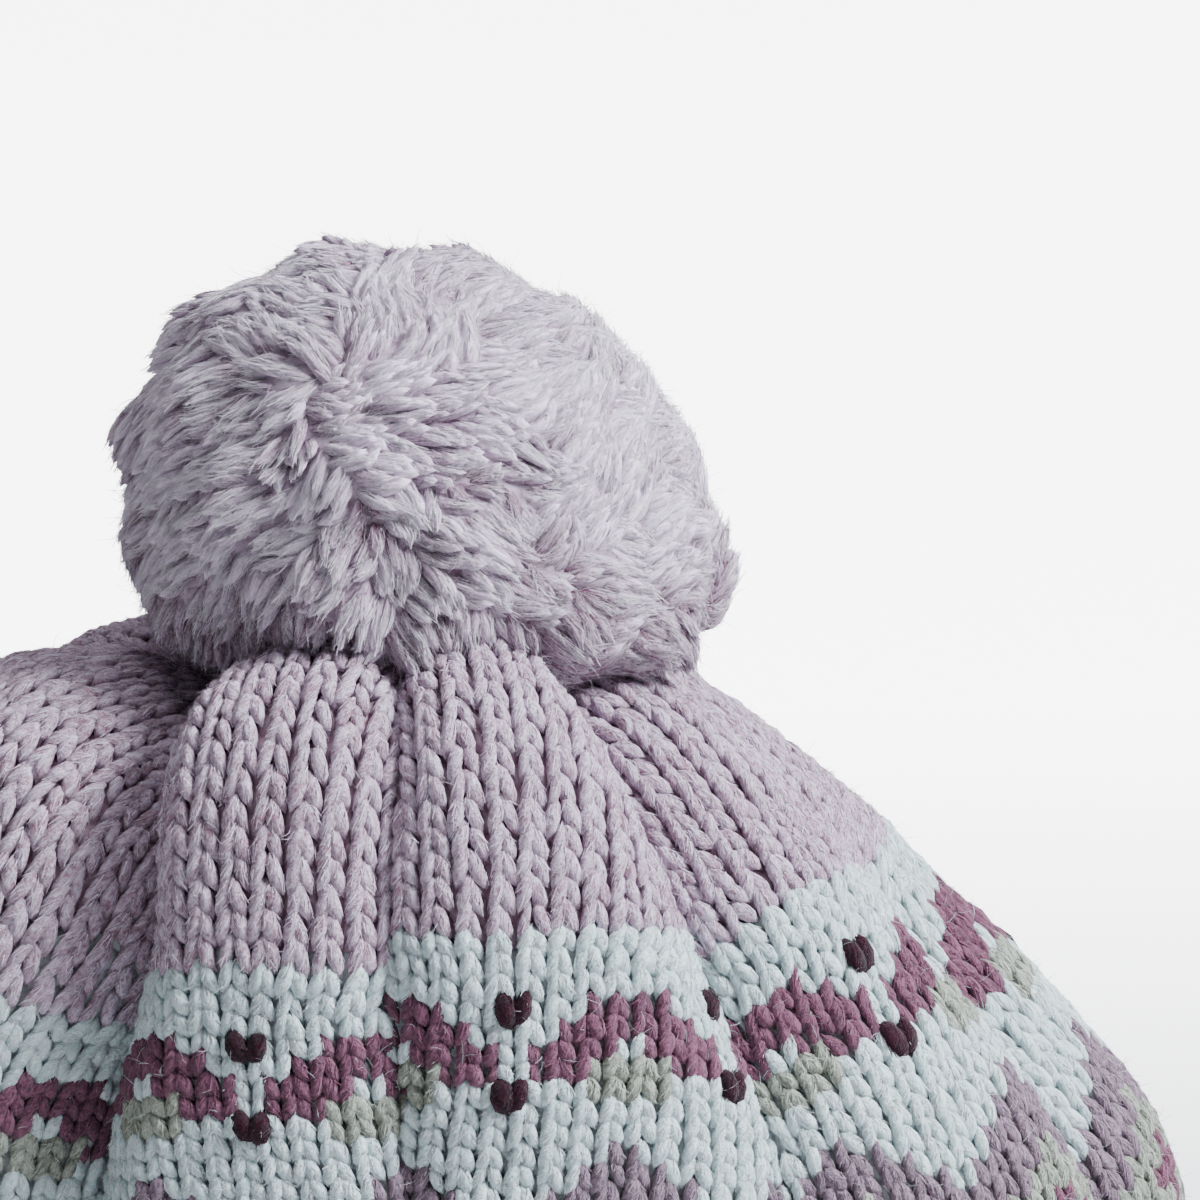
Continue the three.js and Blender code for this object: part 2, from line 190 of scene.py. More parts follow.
@dataclass
class HatForm:
    """The lobed wall of the hat, the same as in the CAD source."""

    crown_rise: float = 0.035
    body_height: float = 0.090
    rib_height: float = 0.045
    half_width: float = 0.112
    half_depth: float = 0.062
    crown_wall: float = 0.0030
    body_wall: float = 0.0034
    rib_wall: float = 0.0036
    fold_depth: float = 0.013
    fold_spread: float = 0.016
    lobe_puff: float = 0.008
    places: Array = field(init=False)
    reaches: list[Array] = field(init=False)
    falls: list[Array] = field(init=False)

    def __post_init__(self) -> None:
        """Works out the table columns in metres."""
        heights = (self.crown_rise, self.body_height, self.rib_height)
        starts = (0.0, self.crown_rise, self.crown_rise + self.body_height)
        halves = (self.half_width, self.half_width, self.half_depth, self.half_depth)
        self.places = np.array([section.zone + section.at for section in SECTIONS])
        self.reaches = [np.array([section.reach[side] * halves[side] for section in SECTIONS])
                        for side in range(4)]
        self.falls = [np.array([starts[section.zone] + section.fall[side] * heights[section.zone]
                                for section in SECTIONS]) for side in range(4)]

    @property
    def height(self) -> float:
        """Height of the lobe tops above the brim edge."""
        return self.crown_rise + self.body_height + self.rib_height

    def base_point(self, angle: Array, place: Array) -> Array:
        """Points of the smooth outer form.

        Args:
            angle: Plan angles in radians.
            place: Places along the wall.

        Returns:
            Points, with x, y and z along the last axis.
        """
        angle, place = np.broadcast_arrays(angle, place)
        across, inward = np.cos(angle), np.sin(angle)
        right, left, front, back = (column_at(self.places, reach, place) for reach in self.reaches)
        falls = [column_at(self.places, fall, place) for fall in self.falls]
        side = np.where(across > 0, falls[0], falls[1])
        depth = np.where(inward > 0, falls[3], falls[2])
        return np.stack([across * np.where(across > 0, right, left),
                         inward * np.where(inward > 0, back, front),
                         self.height - side * across**2 - depth * inward**2], axis=-1)

    def base_normal(self, angle: Array, place: Array) -> Array:
        """Outward normals of the smooth outer form."""
        step = 0.01
        along = (self.base_point(angle, np.minimum(place + step, 3.0))
                 - self.base_point(angle, np.maximum(place - step, 0.0)))
        around = self.base_point(angle + step, place) - self.base_point(angle - step, place)
        return unit(np.cross(along, around))

    def fold_angle(self, index: int, place: Array) -> Array:
        """Plan angle of a fold, with whole turns added past the last one."""
        turns, which = divmod(index, len(FOLDS))
        angles = column_at(STATIONS, np.array(FOLDS[which].angles, float), place)
        return np.radians(angles + 360 * turns)

    def fold_depth_at(self, index: int, place: Array) -> Array:
        """Share of the full fold depth at some places."""
        return column_at(STATIONS, np.array(FOLDS[index % len(FOLDS)].depths, float), place)

    def wall_angle(self, lobe: int, share: Array, place: Array) -> Array:
        """Plan angle at a share of the way across a lobe."""
        start = self.fold_angle(lobe, place)
        return start + (self.fold_angle(lobe + 1, place) - start) * share

    def wall_point(self, lobe: int, share: Array, place: Array, inset: float = 0.0) -> Array:
        """Points of the folded wall.

        Args:
            lobe: Number of the lobe, which starts at the fold of that number.
            share: Shares of the way across the lobe.
            place: Places along the wall.
            inset: Distance inwards from the outer face.

        Returns:
            Points, with x, y and z along the last axis.
        """
        share, place = np.broadcast_arrays(share, place)
        angle = self.wall_angle(lobe, share, place)
        point = self.base_point(angle, place)
        dips = []
        for index, spread in ((lobe, FOLDS[lobe % len(FOLDS)].after),
                              (lobe + 1, FOLDS[(lobe + 1) % len(FOLDS)].before)):
            line = self.base_point(self.fold_angle(index, place), place)
            distance = np.linalg.norm(point - line, axis=-1)
            near = np.maximum(1 - distance / (spread * self.fold_spread), 0.0)
            dips.append(self.fold_depth * self.fold_depth_at(index, place) * near**2)
        swell = (FOLDS[lobe % len(FOLDS)].puff * self.lobe_puff
                 * column_at(STATIONS, PUFF_AT_STATION, place) * np.sin(np.pi * share))
        offset = swell - np.maximum(dips[0], dips[1]) - inset
        return point + self.base_normal(angle, place) * offset[..., None]


# --- layout of the knitting


@dataclass(frozen=True)
class LobeAnchor:
    """The stitch column that a lobe is counted from, its angles at some places, and the dips
    of its rows at its two folds and how far they all drop, as shares of a zone."""

    column: float | None
    places: tuple[float, ...] = ()
    angles: tuple[float, ...] = ()
    dips: tuple[float, float] = (0.0, 0.0)
    drop: float = 0.0


ANCHORS = (
    LobeAnchor(-8, (0, 0.5, 1.0, 1.5), (-125, -112, -105.0, -98.0), (0.03, 0.0), 0.02),
    LobeAnchor(0, (0, 0.5, 1.0, 1.5), (-60, -70, -76.5, -83.0), (0.0, 0.03), -0.03),
    LobeAnchor(16, (0, 0.38, 0.54, 0.7, 1.0, 1.075, 1.175, 1.35, 1.5),
               (-12, -17, -22, -26.5, -31, -34, -37.8, -41, -43), (0.055, 0.0), -0.02),
    LobeAnchor(None),
    LobeAnchor(None),
    LobeAnchor(None),
    LobeAnchor(None),
    LobeAnchor(-16, (0, 0.5, 1.0, 1.5), (208, 221, 227.5, 233), (0.0, 0.10), 0.02),
)

FOLLOWING_LOBE = 3
LOBE_SAMPLES = 97
FRONT_COLUMN_ANGLE = math.radians(-82.5)


@dataclass
class Panel:
    """The knit of one lobe: points and normals over a fine grid of columns and rows."""

    first_column: float
    first_row: float
    fineness: int
    points: Array
    normals: Array
    past: Array

    def _read(self, grid: Array, column: Array, row: Array) -> Array:
        """Value of a grid between its points."""
        x = np.clip((column - self.first_column) * self.fineness, 0, grid.shape[1] - 1.001)
        y = np.clip((row - self.first_row) * self.fineness, 0, grid.shape[0] - 1.001)
        left, top = x.astype(int), y.astype(int)
        across, down = x - left, y - top
        if grid.ndim == 3:
            across, down = across[..., None], down[..., None]
        upper = grid[top, left] * (1 - across) + grid[top, left + 1] * across
        lower = grid[top + 1, left] * (1 - across) + grid[top + 1, left + 1] * across
        return upper * (1 - down) + lower * down

    def point(self, column: Array, row: Array) -> Array:
        """Points of the fabric at some columns and rows."""
        return self._read(self.points, column, row)

    def normal(self, column: Array, row: Array) -> Array:
        """Outward normals of the fabric at some columns and rows."""
        return unit(self._read(self.normals, column, row))

    def hidden(self, column: Array, row: Array) -> Array:
        """How far some columns have gone past the fold lines, in metres."""
        return self._read(self.past, column, row)


def grid_normals(points: Array) -> Array:
    """Outward normals of a grid whose rows run down and whose columns run round."""
    return unit(np.cross(np.gradient(points, axis=0), np.gradient(points, axis=1)))


@dataclass
class KnitLayout:
    """Columns and rows of the knitting over the hat's form."""

    form: HatForm
    columns: int = 136
    crown_rows: int = 22
    body_rows: int = 30
    rib_rows: int = 14
    fineness: int = 4
    rib_relief: float = 0.0018
    dip_spreads: tuple[float, float] = (0.22, 0.30)
    first_place: float = 0.03
    last_rib_place: float = 2.97
    row_places: Array = field(init=False)
    stitch_at_rib: float = field(init=False)
    ring_angles: Array = field(init=False)
    ring_columns: Array = field(init=False)

    def __post_init__(self) -> None:
        """Works out the place of each row and the plan angle of each column at the rib."""
        zones = ((self.first_place, 1.0, self.crown_rows), (1.0, 2.0, self.body_rows),
                 (2.0, self.last_rib_place, self.rib_rows))
        places = [np.array([self.first_place])]
        for start, end, rows in zones:
            samples = np.linspace(start, end, 200)
            around = np.radians(np.arange(-180, 180, 15))
            rings = self.form.base_point(around[None], samples[:, None])
            steps = np.linalg.norm(np.diff(rings, axis=0), axis=2).mean(axis=1)
            run = np.concatenate([[0.0], np.cumsum(steps)])
            places.append(np.interp(np.linspace(0, run[-1], rows + 1)[1:], run, samples))
        self.row_places = np.concatenate(places)
        angles = np.radians(np.linspace(-270, 450, 2881))
        ring = self.form.base_point(angles, np.full(angles.shape, 2.0))
        run = np.concatenate([[0.0], np.cumsum(np.linalg.norm(np.diff(ring, axis=0), axis=1))])
        self.stitch_at_rib = (run[-1] / 2) / self.columns
        self.ring_angles = angles
        self.ring_columns = (run - np.interp(FRONT_COLUMN_ANGLE, angles, run)) / self.stitch_at_rib

    def place_of_row(self, row: Array) -> Array:
        """Places along the wall of some rows, counted from the top."""
        return np.interp(row, np.arange(len(self.row_places)), self.row_places)

    def column_angle(self, column: Array) -> Array:
        """Plan angles of some columns at the top of the rib."""
        return np.interp(column, self.ring_columns, self.ring_angles)

    def column_width(self, place: Array) -> Array:
        """Widths of the columns at some places."""
        return np.interp(place, (0.0, 0.3, 1.0, 1.05, 1.5, 2.0),
                         (0.0044, 0.0044, 0.0043, 0.00385, 0.0040, self.stitch_at_rib))

    def anchor(self, lobe: int, place: Array) -> tuple[float, Array]:
        """Column number that a lobe is counted from, and its plan angles at some places."""
        anchor = ANCHORS[lobe]
        if anchor.column is None:
            angle = self.form.wall_angle(lobe, np.full(place.shape, 0.5), place)
            final = self.form.wall_angle(lobe, np.array([0.5]), np.array([2.0]))
            return float(np.interp(final, self.ring_angles, self.ring_columns)[0]), angle
        column = anchor.column + (self.columns if lobe > FOLLOWING_LOBE else 0)
        final = float(self.column_angle(np.array(column)))
        places = np.array((*anchor.places, 2.0, 3.0))
        angles = np.array((*np.radians(anchor.angles), final, final))
        return column, column_at(places, angles, place)

    def panel(self, lobe: int) -> Panel:
        """The knit of one lobe from the gather to the top of the rib.

        Args:
            lobe: Number of the lobe.

        Returns:
            The panel, whose columns run past the folds on both sides.
        """
        form = self.form
        rows = np.arange((self.crown_rows + self.body_rows) * self.fineness + 1) / self.fineness
        place = self.place_of_row(rows)
        fade = smooth_step(0.15, 0.6, place) * (1 - smooth_step(1.3, 1.9, place))
        dips, drop = ANCHORS[lobe].dips, ANCHORS[lobe].drop

        def dipped(share: Array) -> Array:
            """Places of the rows, which sink towards the folds."""
            sink = (dips[0] * np.exp(-(share / self.dip_spreads[0]) ** 2)
                    + dips[1] * np.exp(-((1 - share) / self.dip_spreads[1]) ** 2))
            return np.clip(place[:, None] + (sink + drop) * fade[:, None], 0, 2)

        shares = np.linspace(0, 1, LOBE_SAMPLES)
        run = self._run(lobe, shares, dipped(shares[None]))
        column, angle = self.anchor(lobe, place)
        start, end = form.fold_angle(lobe, place), form.fold_angle(lobe + 1, place)
        anchor_share = (angle - start) / (end - start)
        width = self.column_width(place)
        home = np.array([np.interp(anchor_share[r], shares, run[r]) for r in range(len(rows))])
        if lobe == FOLLOWING_LOBE:
            home = self._follow(home, column, place, width)
        low, high = (column - home / width).min(), (column + (run[:, -1] - home) / width).max()
        first, last = math.floor(low) - 1, math.ceil(high) + 1
        columns = first + np.arange((last - first) * self.fineness + 1) / self.fineness
        target = home[:, None] + (columns[None] - column) * width[:, None]
        share = np.array([np.interp(target[r], run[r], shares) for r in range(len(rows))])
        before, after = np.maximum(-target, 0), np.maximum(target - run[:, -1:], 0)
        at = dipped(share)
        points = form.wall_point(lobe, share, at)
        angles = form.wall_angle(lobe, share, at)
        around = unit(form.base_point(angles + 0.01, at) - form.base_point(angles - 0.01, at))
        normal = form.base_normal(angles, at)
        for past, index, side in ((before, lobe, -1.0), (after, lobe + 1, 1.0)):
            turn = np.pi / 2 * np.clip(form.fold_depth_at(index, at) * 2.5, 0, 1)
            points += past[..., None] * (around * side * np.cos(turn)[..., None]
                                         - normal * np.sin(turn)[..., None])
        return Panel(first, 0.0, self.fineness, points, grid_normals(points), before + after)

    def _run(self, lobe: int, shares: Array, place: Array) -> Array:
        """Distances along the rows of a lobe, from its first fold, at some shares."""
        wall = self.form.wall_point(lobe, shares[None], place)
        run = np.cumsum(np.linalg.norm(np.diff(wall, axis=1), axis=2), axis=1)
        return np.concatenate([np.zeros((len(wall), 1)), run], axis=1)

    def _follow(self, home: Array, column: float, place: Array, width: Array) -> Array:
        """Run of the anchor of the lobe whose upper columns go on from the lobe before it."""
        form, before = self.form, FOLLOWING_LOBE - 1
        shares = np.linspace(0, 1, LOBE_SAMPLES)
        run = self._run(before, shares, place[:, None])
        anchor_column, angle = self.anchor(before, place)
        start, end = form.fold_angle(before, place), form.fold_angle(before + 1, place)
        share = (angle - start) / (end - start)
        there = np.array([np.interp(share[r], shares, run[r]) for r in range(len(place))])
        going_on = (column - anchor_column) * width - (run[:, -1] - there)
        own = smooth_step(0.85, 1.15, place)
        return going_on * (1 - own) + home * own

    def rib_wave(self, column: Array) -> Array:
        """Shares of the rib relief at some columns: 0 on the knit pairs and 1 between them."""
        step = np.mod(column, 4.0)
        return smooth_step(1.0, 2.0, step) - smooth_step(3.0, 4.0, step)

    def rib_panel(self) -> Panel:
        """The ribbing as one panel round the whole brim."""
        rows = np.arange(self.rib_rows * self.fineness + 1) / self.fineness
        columns = -2 + np.arange((self.columns + 4) * self.fineness + 1) / self.fineness
        place = self.place_of_row(rows + self.crown_rows + self.body_rows)[:, None]
        angle = self.column_angle(columns)[None]
        relief = self.rib_wave(columns)[None, :, None] * self.rib_relief
        points = self.form.base_point(angle, place) - self.form.base_normal(angle, place) * relief
        past = np.zeros(points.shape[:2])
        return Panel(-2.0, 0.0, self.fineness, points, grid_normals(points), past)


# --- colourwork chart


class Yarn(Enum):
    """Yarns of the hat, each with the letter that it has in the chart."""

    PINK = "P"
    CREAM = "C"
    ROSE = "R"
    MAUVE = "M"
    BEIGE = "E"
    BURGUNDY = "B"


YARNS = tuple(Yarn)

# One line for each body row from the colour change to the middle of the body, which it mirrors.
# The first letter is the heart column and the fifth the peak of the zigzag.
CHART = (
    "CCCCCCCC",
    "CCCCCCCC",
    "CCCCCCCC",
    "BCCRRRCC",
    "CCRRRRRC",
    "CRRRCRRR",
    "CRREEERR",
    "BCCEEECC",
    "CCCCCCCC",
    "CCCCCCCC",
    "CCCCMCCC",
    "CCCMMMCC",
    "CCMMMMMC",
    "CMMMEMMM",
    "MMMEEEMM",
    "MMEEREEM",
    "MEERRREE",
)


def chart_yarns(column: Array, body_row: Array) -> Array:
    """Yarn number of each stitch of the body.

    Args:
        column: Column numbers, the hearts at whole eights.
        body_row: Rows below the colour change.

    Returns:
        Places in YARNS.
    """
    letters = np.array([[next(i for i, yarn in enumerate(YARNS) if yarn.value == letter)
                         for letter in line] for line in CHART])
    last = len(CHART) - 1
    mirrored = np.where(body_row <= last, body_row, 2 * last - body_row)
    return letters[np.clip(mirrored, 0, last), np.mod(column, 8)]


# --- strands of yarn as joined meshes


@dataclass
class StrandShape:
    """One strand, made with a bmesh operator and read as rings along it and places round it."""

    ring: Array
    across: Array
    out: Array
    loops: Array
    starts: Array
    uvs: Array
    rings: int

    @classmethod
    def lens(cls, sides: int, segments: int) -> StrandShape:
        """A closed strand that narrows to a point at both ends."""
        mesh = bmesh.new()
        bmesh.ops.create_uvsphere(mesh, u_segments=sides, v_segments=segments, radius=1.0)
        return cls._read(mesh, segments, lambda co: math.acos(max(-1.0, min(1.0, co.z))) / math.pi)

    @classmethod
    def ribbon(cls, segments: int) -> StrandShape:
        """A flat hair."""
        mesh = bmesh.new()
        bmesh.ops.create_grid(mesh, x_segments=1, y_segments=segments, size=1.0)
        return cls._read(mesh, segments, lambda co: (co.y + 1) / 2)

    @classmethod
    def _read(cls, mesh: bmesh.types.BMesh, segments: int,
              share: Callable[[Vector], float]) -> StrandShape:
        """Reads a bmesh as a strand and frees it."""
        mesh.verts.ensure_lookup_table()
        mesh.verts.index_update()
        ring = np.array([round(share(vert.co) * segments) for vert in mesh.verts])
        flat = np.array([(vert.co.x, vert.co.y) for vert in mesh.verts])
        if all(abs(vert.co.z) < 1e-6 for vert in mesh.verts):
            flat = np.array([(np.sign(vert.co.x), 0.0) for vert in mesh.verts])
        else:
            size = np.linalg.norm(flat, axis=1, keepdims=True)
            flat = np.where(size > 1e-4, flat / np.maximum(size, 1e-9), 0.0)
        loops, starts, uvs = [], [], []
        for face in mesh.faces:
            starts.append(len(loops))
            turns = [math.atan2(flat[v.index, 1], flat[v.index, 0]) / math.tau for v in face.verts]
            real = [turn for turn, v in zip(turns, face.verts) if np.abs(flat[v.index]).sum() > 0]
            for turn, vert in zip(turns, face.verts):
                if np.abs(flat[vert.index]).sum() == 0:
                    turn = real[0]
                if turn - real[0] > 0.5:
                    turn -= 1.0
                elif real[0] - turn > 0.5:
                    turn += 1.0
                loops.append(vert.index)
                uvs.append((turn, ring[vert.index] / segments))
        mesh.free()
        return cls(ring, flat[:, 0], flat[:, 1], np.array(loops), np.array(starts), np.array(uvs),
                   segments + 1)

    def place(self, centre: Array, normal: Array, wide: Array, thick: Array) -> Array:
        """Vertices of many strands.

        Args:
            centre: Points along each strand's middle, strands by rings by three.
            normal: The way out of the cloth at those points.
            wide: Half widths at the rings.
            thick: Half thicknesses at the rings.

        Returns:
            Vertices, strands by vertices by three.
        """
        tangent = unit(np.gradient(centre, axis=1))
        side = unit(np.cross(tangent, normal))
        up = np.cross(side, tangent)
        ring = self.ring
        return (centre[:, ring] + side[:, ring] * (wide[:, ring] * self.across)[..., None]
                + up[:, ring] * (thick[:, ring] * self.out)[..., None])


@dataclass
class StrandBatch:
    """Strands of one shape, with a material number and a shade for each."""

    shape: StrandShape
    vertices: Array
    yarn: Array
    shade: Array
    phase: Array


def join_strands(name: str, batches: Sequence[StrandBatch],
                 materials: Sequence[bpy.types.Material]) -> bpy.types.Object:
    """One object from many strands, none of them below the floor.

    Args:
        name: Name of the object.
        batches: The strands.
        materials: Materials that the batches number.

    Returns:
        The new object, linked to the scene.
    """
    points, loops, starts, uvs, yarns, shades = [], [], [], [], [], []
    vertex_base = loop_base = 0
    for batch in batches:
        shape, count = batch.shape, len(batch.vertices)
        size = batch.vertices.shape[1]
        points.append(batch.vertices.reshape(-1, 3))
        offsets = vertex_base + np.arange(count) * size
        loops.append((shape.loops[None] + offsets[:, None]).ravel())
        loop_offsets = loop_base + np.arange(count) * len(shape.loops)
        starts.append((shape.starts[None] + loop_offsets[:, None]).ravel())
        uvs.append((shape.uvs[None] + batch.phase[:, None, :]).reshape(-1, 2))
        yarns.append(np.repeat(batch.yarn, len(shape.starts)))
        shades.append(np.repeat(batch.shade, size))
        vertex_base += count * size
        loop_base += count * len(shape.loops)
    co = np.concatenate(points)
    co[:, 2] = np.maximum(co[:, 2], 0.0)
    mesh = bpy.data.meshes.new(name)
    mesh.vertices.add(len(co))
    mesh.vertices.foreach_set("co", co.astype(np.float32).ravel())
    corner = np.concatenate(loops)
    mesh.loops.add(len(corner))
    mesh.loops.foreach_set("vertex_index", corner.astype(np.int32))
    start = np.concatenate(starts)
    mesh.polygons.add(len(start))
    mesh.polygons.foreach_set("loop_start", start.astype(np.int32))
    mesh.polygons.foreach_set("material_index", np.concatenate(yarns).astype(np.int32))
    mesh.polygons.foreach_set("use_smooth", np.ones(len(start), bool))
    mesh.update(calc_edges=True)
    mesh.uv_layers.new(name=STRAND_UV)
    mesh.uv_layers[STRAND_UV].data.foreach_set("uv", np.concatenate(uvs).astype(np.float32).ravel())
    shade = mesh.attributes.new(SHADE, "FLOAT", "POINT")
    shade.data.foreach_set("value", np.concatenate(shades).astype(np.float32))
    for material in materials:
        mesh.materials.append(material)
    return link(name, mesh)


def link(name: str, mesh: bpy.types.Mesh) -> bpy.types.Object:
    """A new object of a mesh in the scene."""
    piece = bpy.data.objects.new(name, mesh)
    bpy.context.scene.collection.objects.link(piece)
    return piece


def link_bmesh(name: str, mesh: bmesh.types.BMesh,
               *materials: bpy.types.Material) -> bpy.types.Object:
    """A new object of a bmesh, which is freed."""
    data = bpy.data.meshes.new(name)
    mesh.to_mesh(data)
    mesh.free()
    for material in materials:
        data.materials.append(material)
    return link(name, data)


def settle(piece: bpy.types.Object, slot: str, *nodes: str) -> None:
    """Puts a finished piece on the hat's body, in place of some CAD nodes.

    Args:
        piece: The piece.
        slot: Not used.
        nodes: CAD nodes that it stands for.
    """
    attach(piece, "root")
    if nodes:
        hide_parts(*nodes)
    triangles = sum(len(polygon.vertices) - 2 for polygon in piece.data.polygons)
    LOG.info("%s: %d triangles", piece.name, triangles)


# --- shader graphs


@dataclass(frozen=True)
class Wire:
    """An output in a material's graph. Sums and products of wires add Math nodes."""

    graph: Graph
    socket: bpy.types.NodeSocket

    def math(self, operation: str, first: Wire | float, second: Wire | float = 0.0) -> Wire:
        """A Math node."""
        return self.graph.node("ShaderNodeMath", {"operation": operation}, {0: first, 1: second})

    def output(self, index: int) -> Wire:
        """Another output of the same node."""
        return Wire(self.graph, self.socket.node.outputs[index])

    def __add__(self, other: Wire | float) -> Wire:
        """Sum."""
        return self.math("ADD", self, other)

    __radd__ = __add__

    def __sub__(self, other: Wire | float) -> Wire:
        """Difference."""
        return self.math("SUBTRACT", self, other)

    def __rsub__(self, other: Wire | float) -> Wire:
        """Difference from a number."""
        return self.math("SUBTRACT", other, self)

    def __mul__(self, other: Wire | float) -> Wire:
        """Product."""
        return self.math("MULTIPLY", self, other)

    __rmul__ = __mul__

    def __pow__(self, other: float) -> Wire:
        """Power."""
        return self.math("POWER", self, other)

    def sine(self) -> Wire:
        """Sine of an angle in radians."""
        return self.math("SINE", self)

    def absolute(self) -> Wire:
        """Size without sign."""
        return self.math("ABSOLUTE", self)

    def clamp(self) -> Wire:
        """Kept between 0 and 1."""
        return self.graph.node("ShaderNodeClamp", {}, {0: self})


class Graph:
    """Nodes of one material, which end in a Principled shader."""

    def __init__(self, name: str) -> None:
        """Starts a material with its shader and output."""
        self.material = bpy.data.materials.new(name)
        self.material.use_nodes = True
        self.tree = self.material.node_tree
        self.tree.nodes.clear()
        output = self.tree.nodes.new("ShaderNodeOutputMaterial")
        self.shader = self.tree.nodes.new("ShaderNodeBsdfPrincipled")
        self.tree.links.new(self.shader.outputs[0], output.inputs[0])

    def feed(self, socket: bpy.types.NodeSocket, value: object) -> None:
        """Links a wire to a socket, or sets the socket's own value."""
        if isinstance(value, Wire):
            self.tree.links.new(value.socket, socket)
        else:
            socket.default_value = value

    def node(self, kind: str, settings: Mapping[str, object], values: Mapping[int | str, object],
             output: int = 0) -> Wire:
        """Adds a node.

        Args:
            kind: Blender's name for the node type.
            settings: Settings of the node, which come before its sockets.
            values: Numbers, colours or wires for its sockets.
            output: Number of the output that is wanted.

        Returns:
            That output.
        """
        node = self.tree.nodes.new(kind)
        for name, value in settings.items():
            setattr(node, name, value)
        for key, value in values.items():
            self.feed(node.inputs[key], value)
        return Wire(self, node.outputs[output])

    def blend(self, share: Wire, first: Wire | Colour, second: Wire | Colour) -> Wire:
        """Mix of two colours."""
        return self.node("ShaderNodeMix", {"data_type": "RGBA"}, {0: share, 6: first, 7: second}, 2)

    def noise(self, vector: Wire, scale: float, detail: float = 2.0,
              roughness: float = 0.5) -> Wire:
        """Noise between about 0 and 1."""
        return self.node("ShaderNodeTexNoise", {}, {"Vector": vector, "Scale": scale,
                                                    "Detail": detail, "Roughness": roughness})

    def combine(self, x: Wire | float, y: Wire | float, z: Wire | float) -> Wire:
        """Vector of three numbers."""
        return self.node("ShaderNodeCombineXYZ", {}, {0: x, 1: y, 2: z})

    def strand_map(self) -> tuple[Wire, Wire, Wire]:
        """A strand's or shell's own map, round and along it, and object coordinates."""
        uv = self.node("ShaderNodeUVMap", {"uv_map": STRAND_UV}, {})
        parts = self.node("ShaderNodeSeparateXYZ", {}, {0: uv})
        return parts, parts.output(1), self.place()

    def place(self) -> Wire:
        """Object coordinates."""
        return self.node("ShaderNodeTexCoord", {}, {}, 3)

    def shade(self) -> Wire:
        """The shade that each strand has."""
        return self.node("ShaderNodeAttribute", {"attribute_name": SHADE}, {}, 2)

    def finish(self, constants: Mapping[str, object], colour: Wire, height: Wire, relief: float,
               strength: float) -> bpy.types.Material:
        """Feeds the shader.

        Args:
            constants: Values of sockets that are the same all over.
            colour: Base colour.
            height: Height of the fine relief, 0 to 1.
            relief: Height of the relief in metres.
            strength: Strength of the bump.

        Returns:
            The material.
        """
        for key, value in constants.items():
            self.feed(self.shader.inputs[key], value)
        self.feed(self.shader.inputs["Base Color"], colour)
        bump = self.node("ShaderNodeBump", {}, {"Strength": strength, "Distance": relief,
                                                "Height": height})
        self.feed(self.shader.inputs["Normal"], bump)
        return self.material


@dataclass(frozen=True)
class YarnFinish:
    """Plied wool: a light and a shaded colour, twisted plies, fine fibres and a soft sheen."""

    name: str
    light: Colour
    dark: Colour
    plies: int = 2
    turns: float = 1.5
    sheen: float = 0.12
    relief: float = 0.00060

    def make(self) -> bpy.types.Material:
        """The finish as a material on strands."""
        graph = Graph(self.name)
        turn, along, place = graph.strand_map()
        shade = graph.shade()
        twist = ((turn * self.plies + along * self.turns) * math.tau).sine() * 0.5 + 0.5
        drawn = graph.combine(turn * 9.0 + along * 5.0, along * 3.0, shade * 37.0)
        streak = graph.noise(drawn, 2.2, 3.0, 0.7)
        fuzz = graph.noise(place, 1100.0, 4.0, 0.75)
        blotch = graph.noise(place, 150.0, 2.0)
        # The twist term darkens the grooves between the plies: painted shade. The streaks, fuzz and
        # blotches are random tone.
        tone = (twist * 0.25 + streak * 2.00 + fuzz * 2.20 + shade * 0.30 + blotch * 0.60
                - 2.15).clamp()
        colour = graph.blend(tone, self.dark, self.light)
        height = twist * 0.30 + streak * 0.90 + fuzz * 1.30
        return graph.finish({"Roughness": 1.0, "Sheen Weight": self.sheen, "Sheen Roughness": 0.6,
                             "Sheen Tint": (1.0, 0.97, 0.99, 1.0), "Specular IOR Level": 0.05},
                            colour, height, self.relief, 1.0)


@dataclass(frozen=True)
class BackingFinish:
    """The inside of the fabric, darker than the yarn as painted shade where it shows between the
    stitches: low purl ridges in rows, on the backing's own map.
    """

    name: str
    light: Colour
    dark: Colour

    def make(self) -> bpy.types.Material:
        """The finish as a material on the backing shells."""
        graph = Graph(self.name)
        column, row, place = graph.strand_map()
        wave = (column * math.tau).sine() * 0.22
        ridge = (((row + wave) * math.tau).sine() * 0.5 + 0.5) ** 0.6
        cell = (column * math.pi).sine().absolute() ** 0.4
        fuzz = graph.noise(place, 2200.0, 3.0, 0.65)
        bumps = ridge * cell
        # The purl bumps are lighter and the hollows between them darker: painted shade. The fuzz is
        # random tone.
        tone = (bumps * 0.75 + fuzz * 0.45 - 0.15).clamp()
        colour = graph.blend(tone, self.dark, self.light)
        return graph.finish({"Roughness": 1.0, "Sheen Weight": 0.1, "Specular IOR Level": 0.1},
                            colour, bumps * 0.8 + fuzz * 0.2, 0.0009, 0.9)


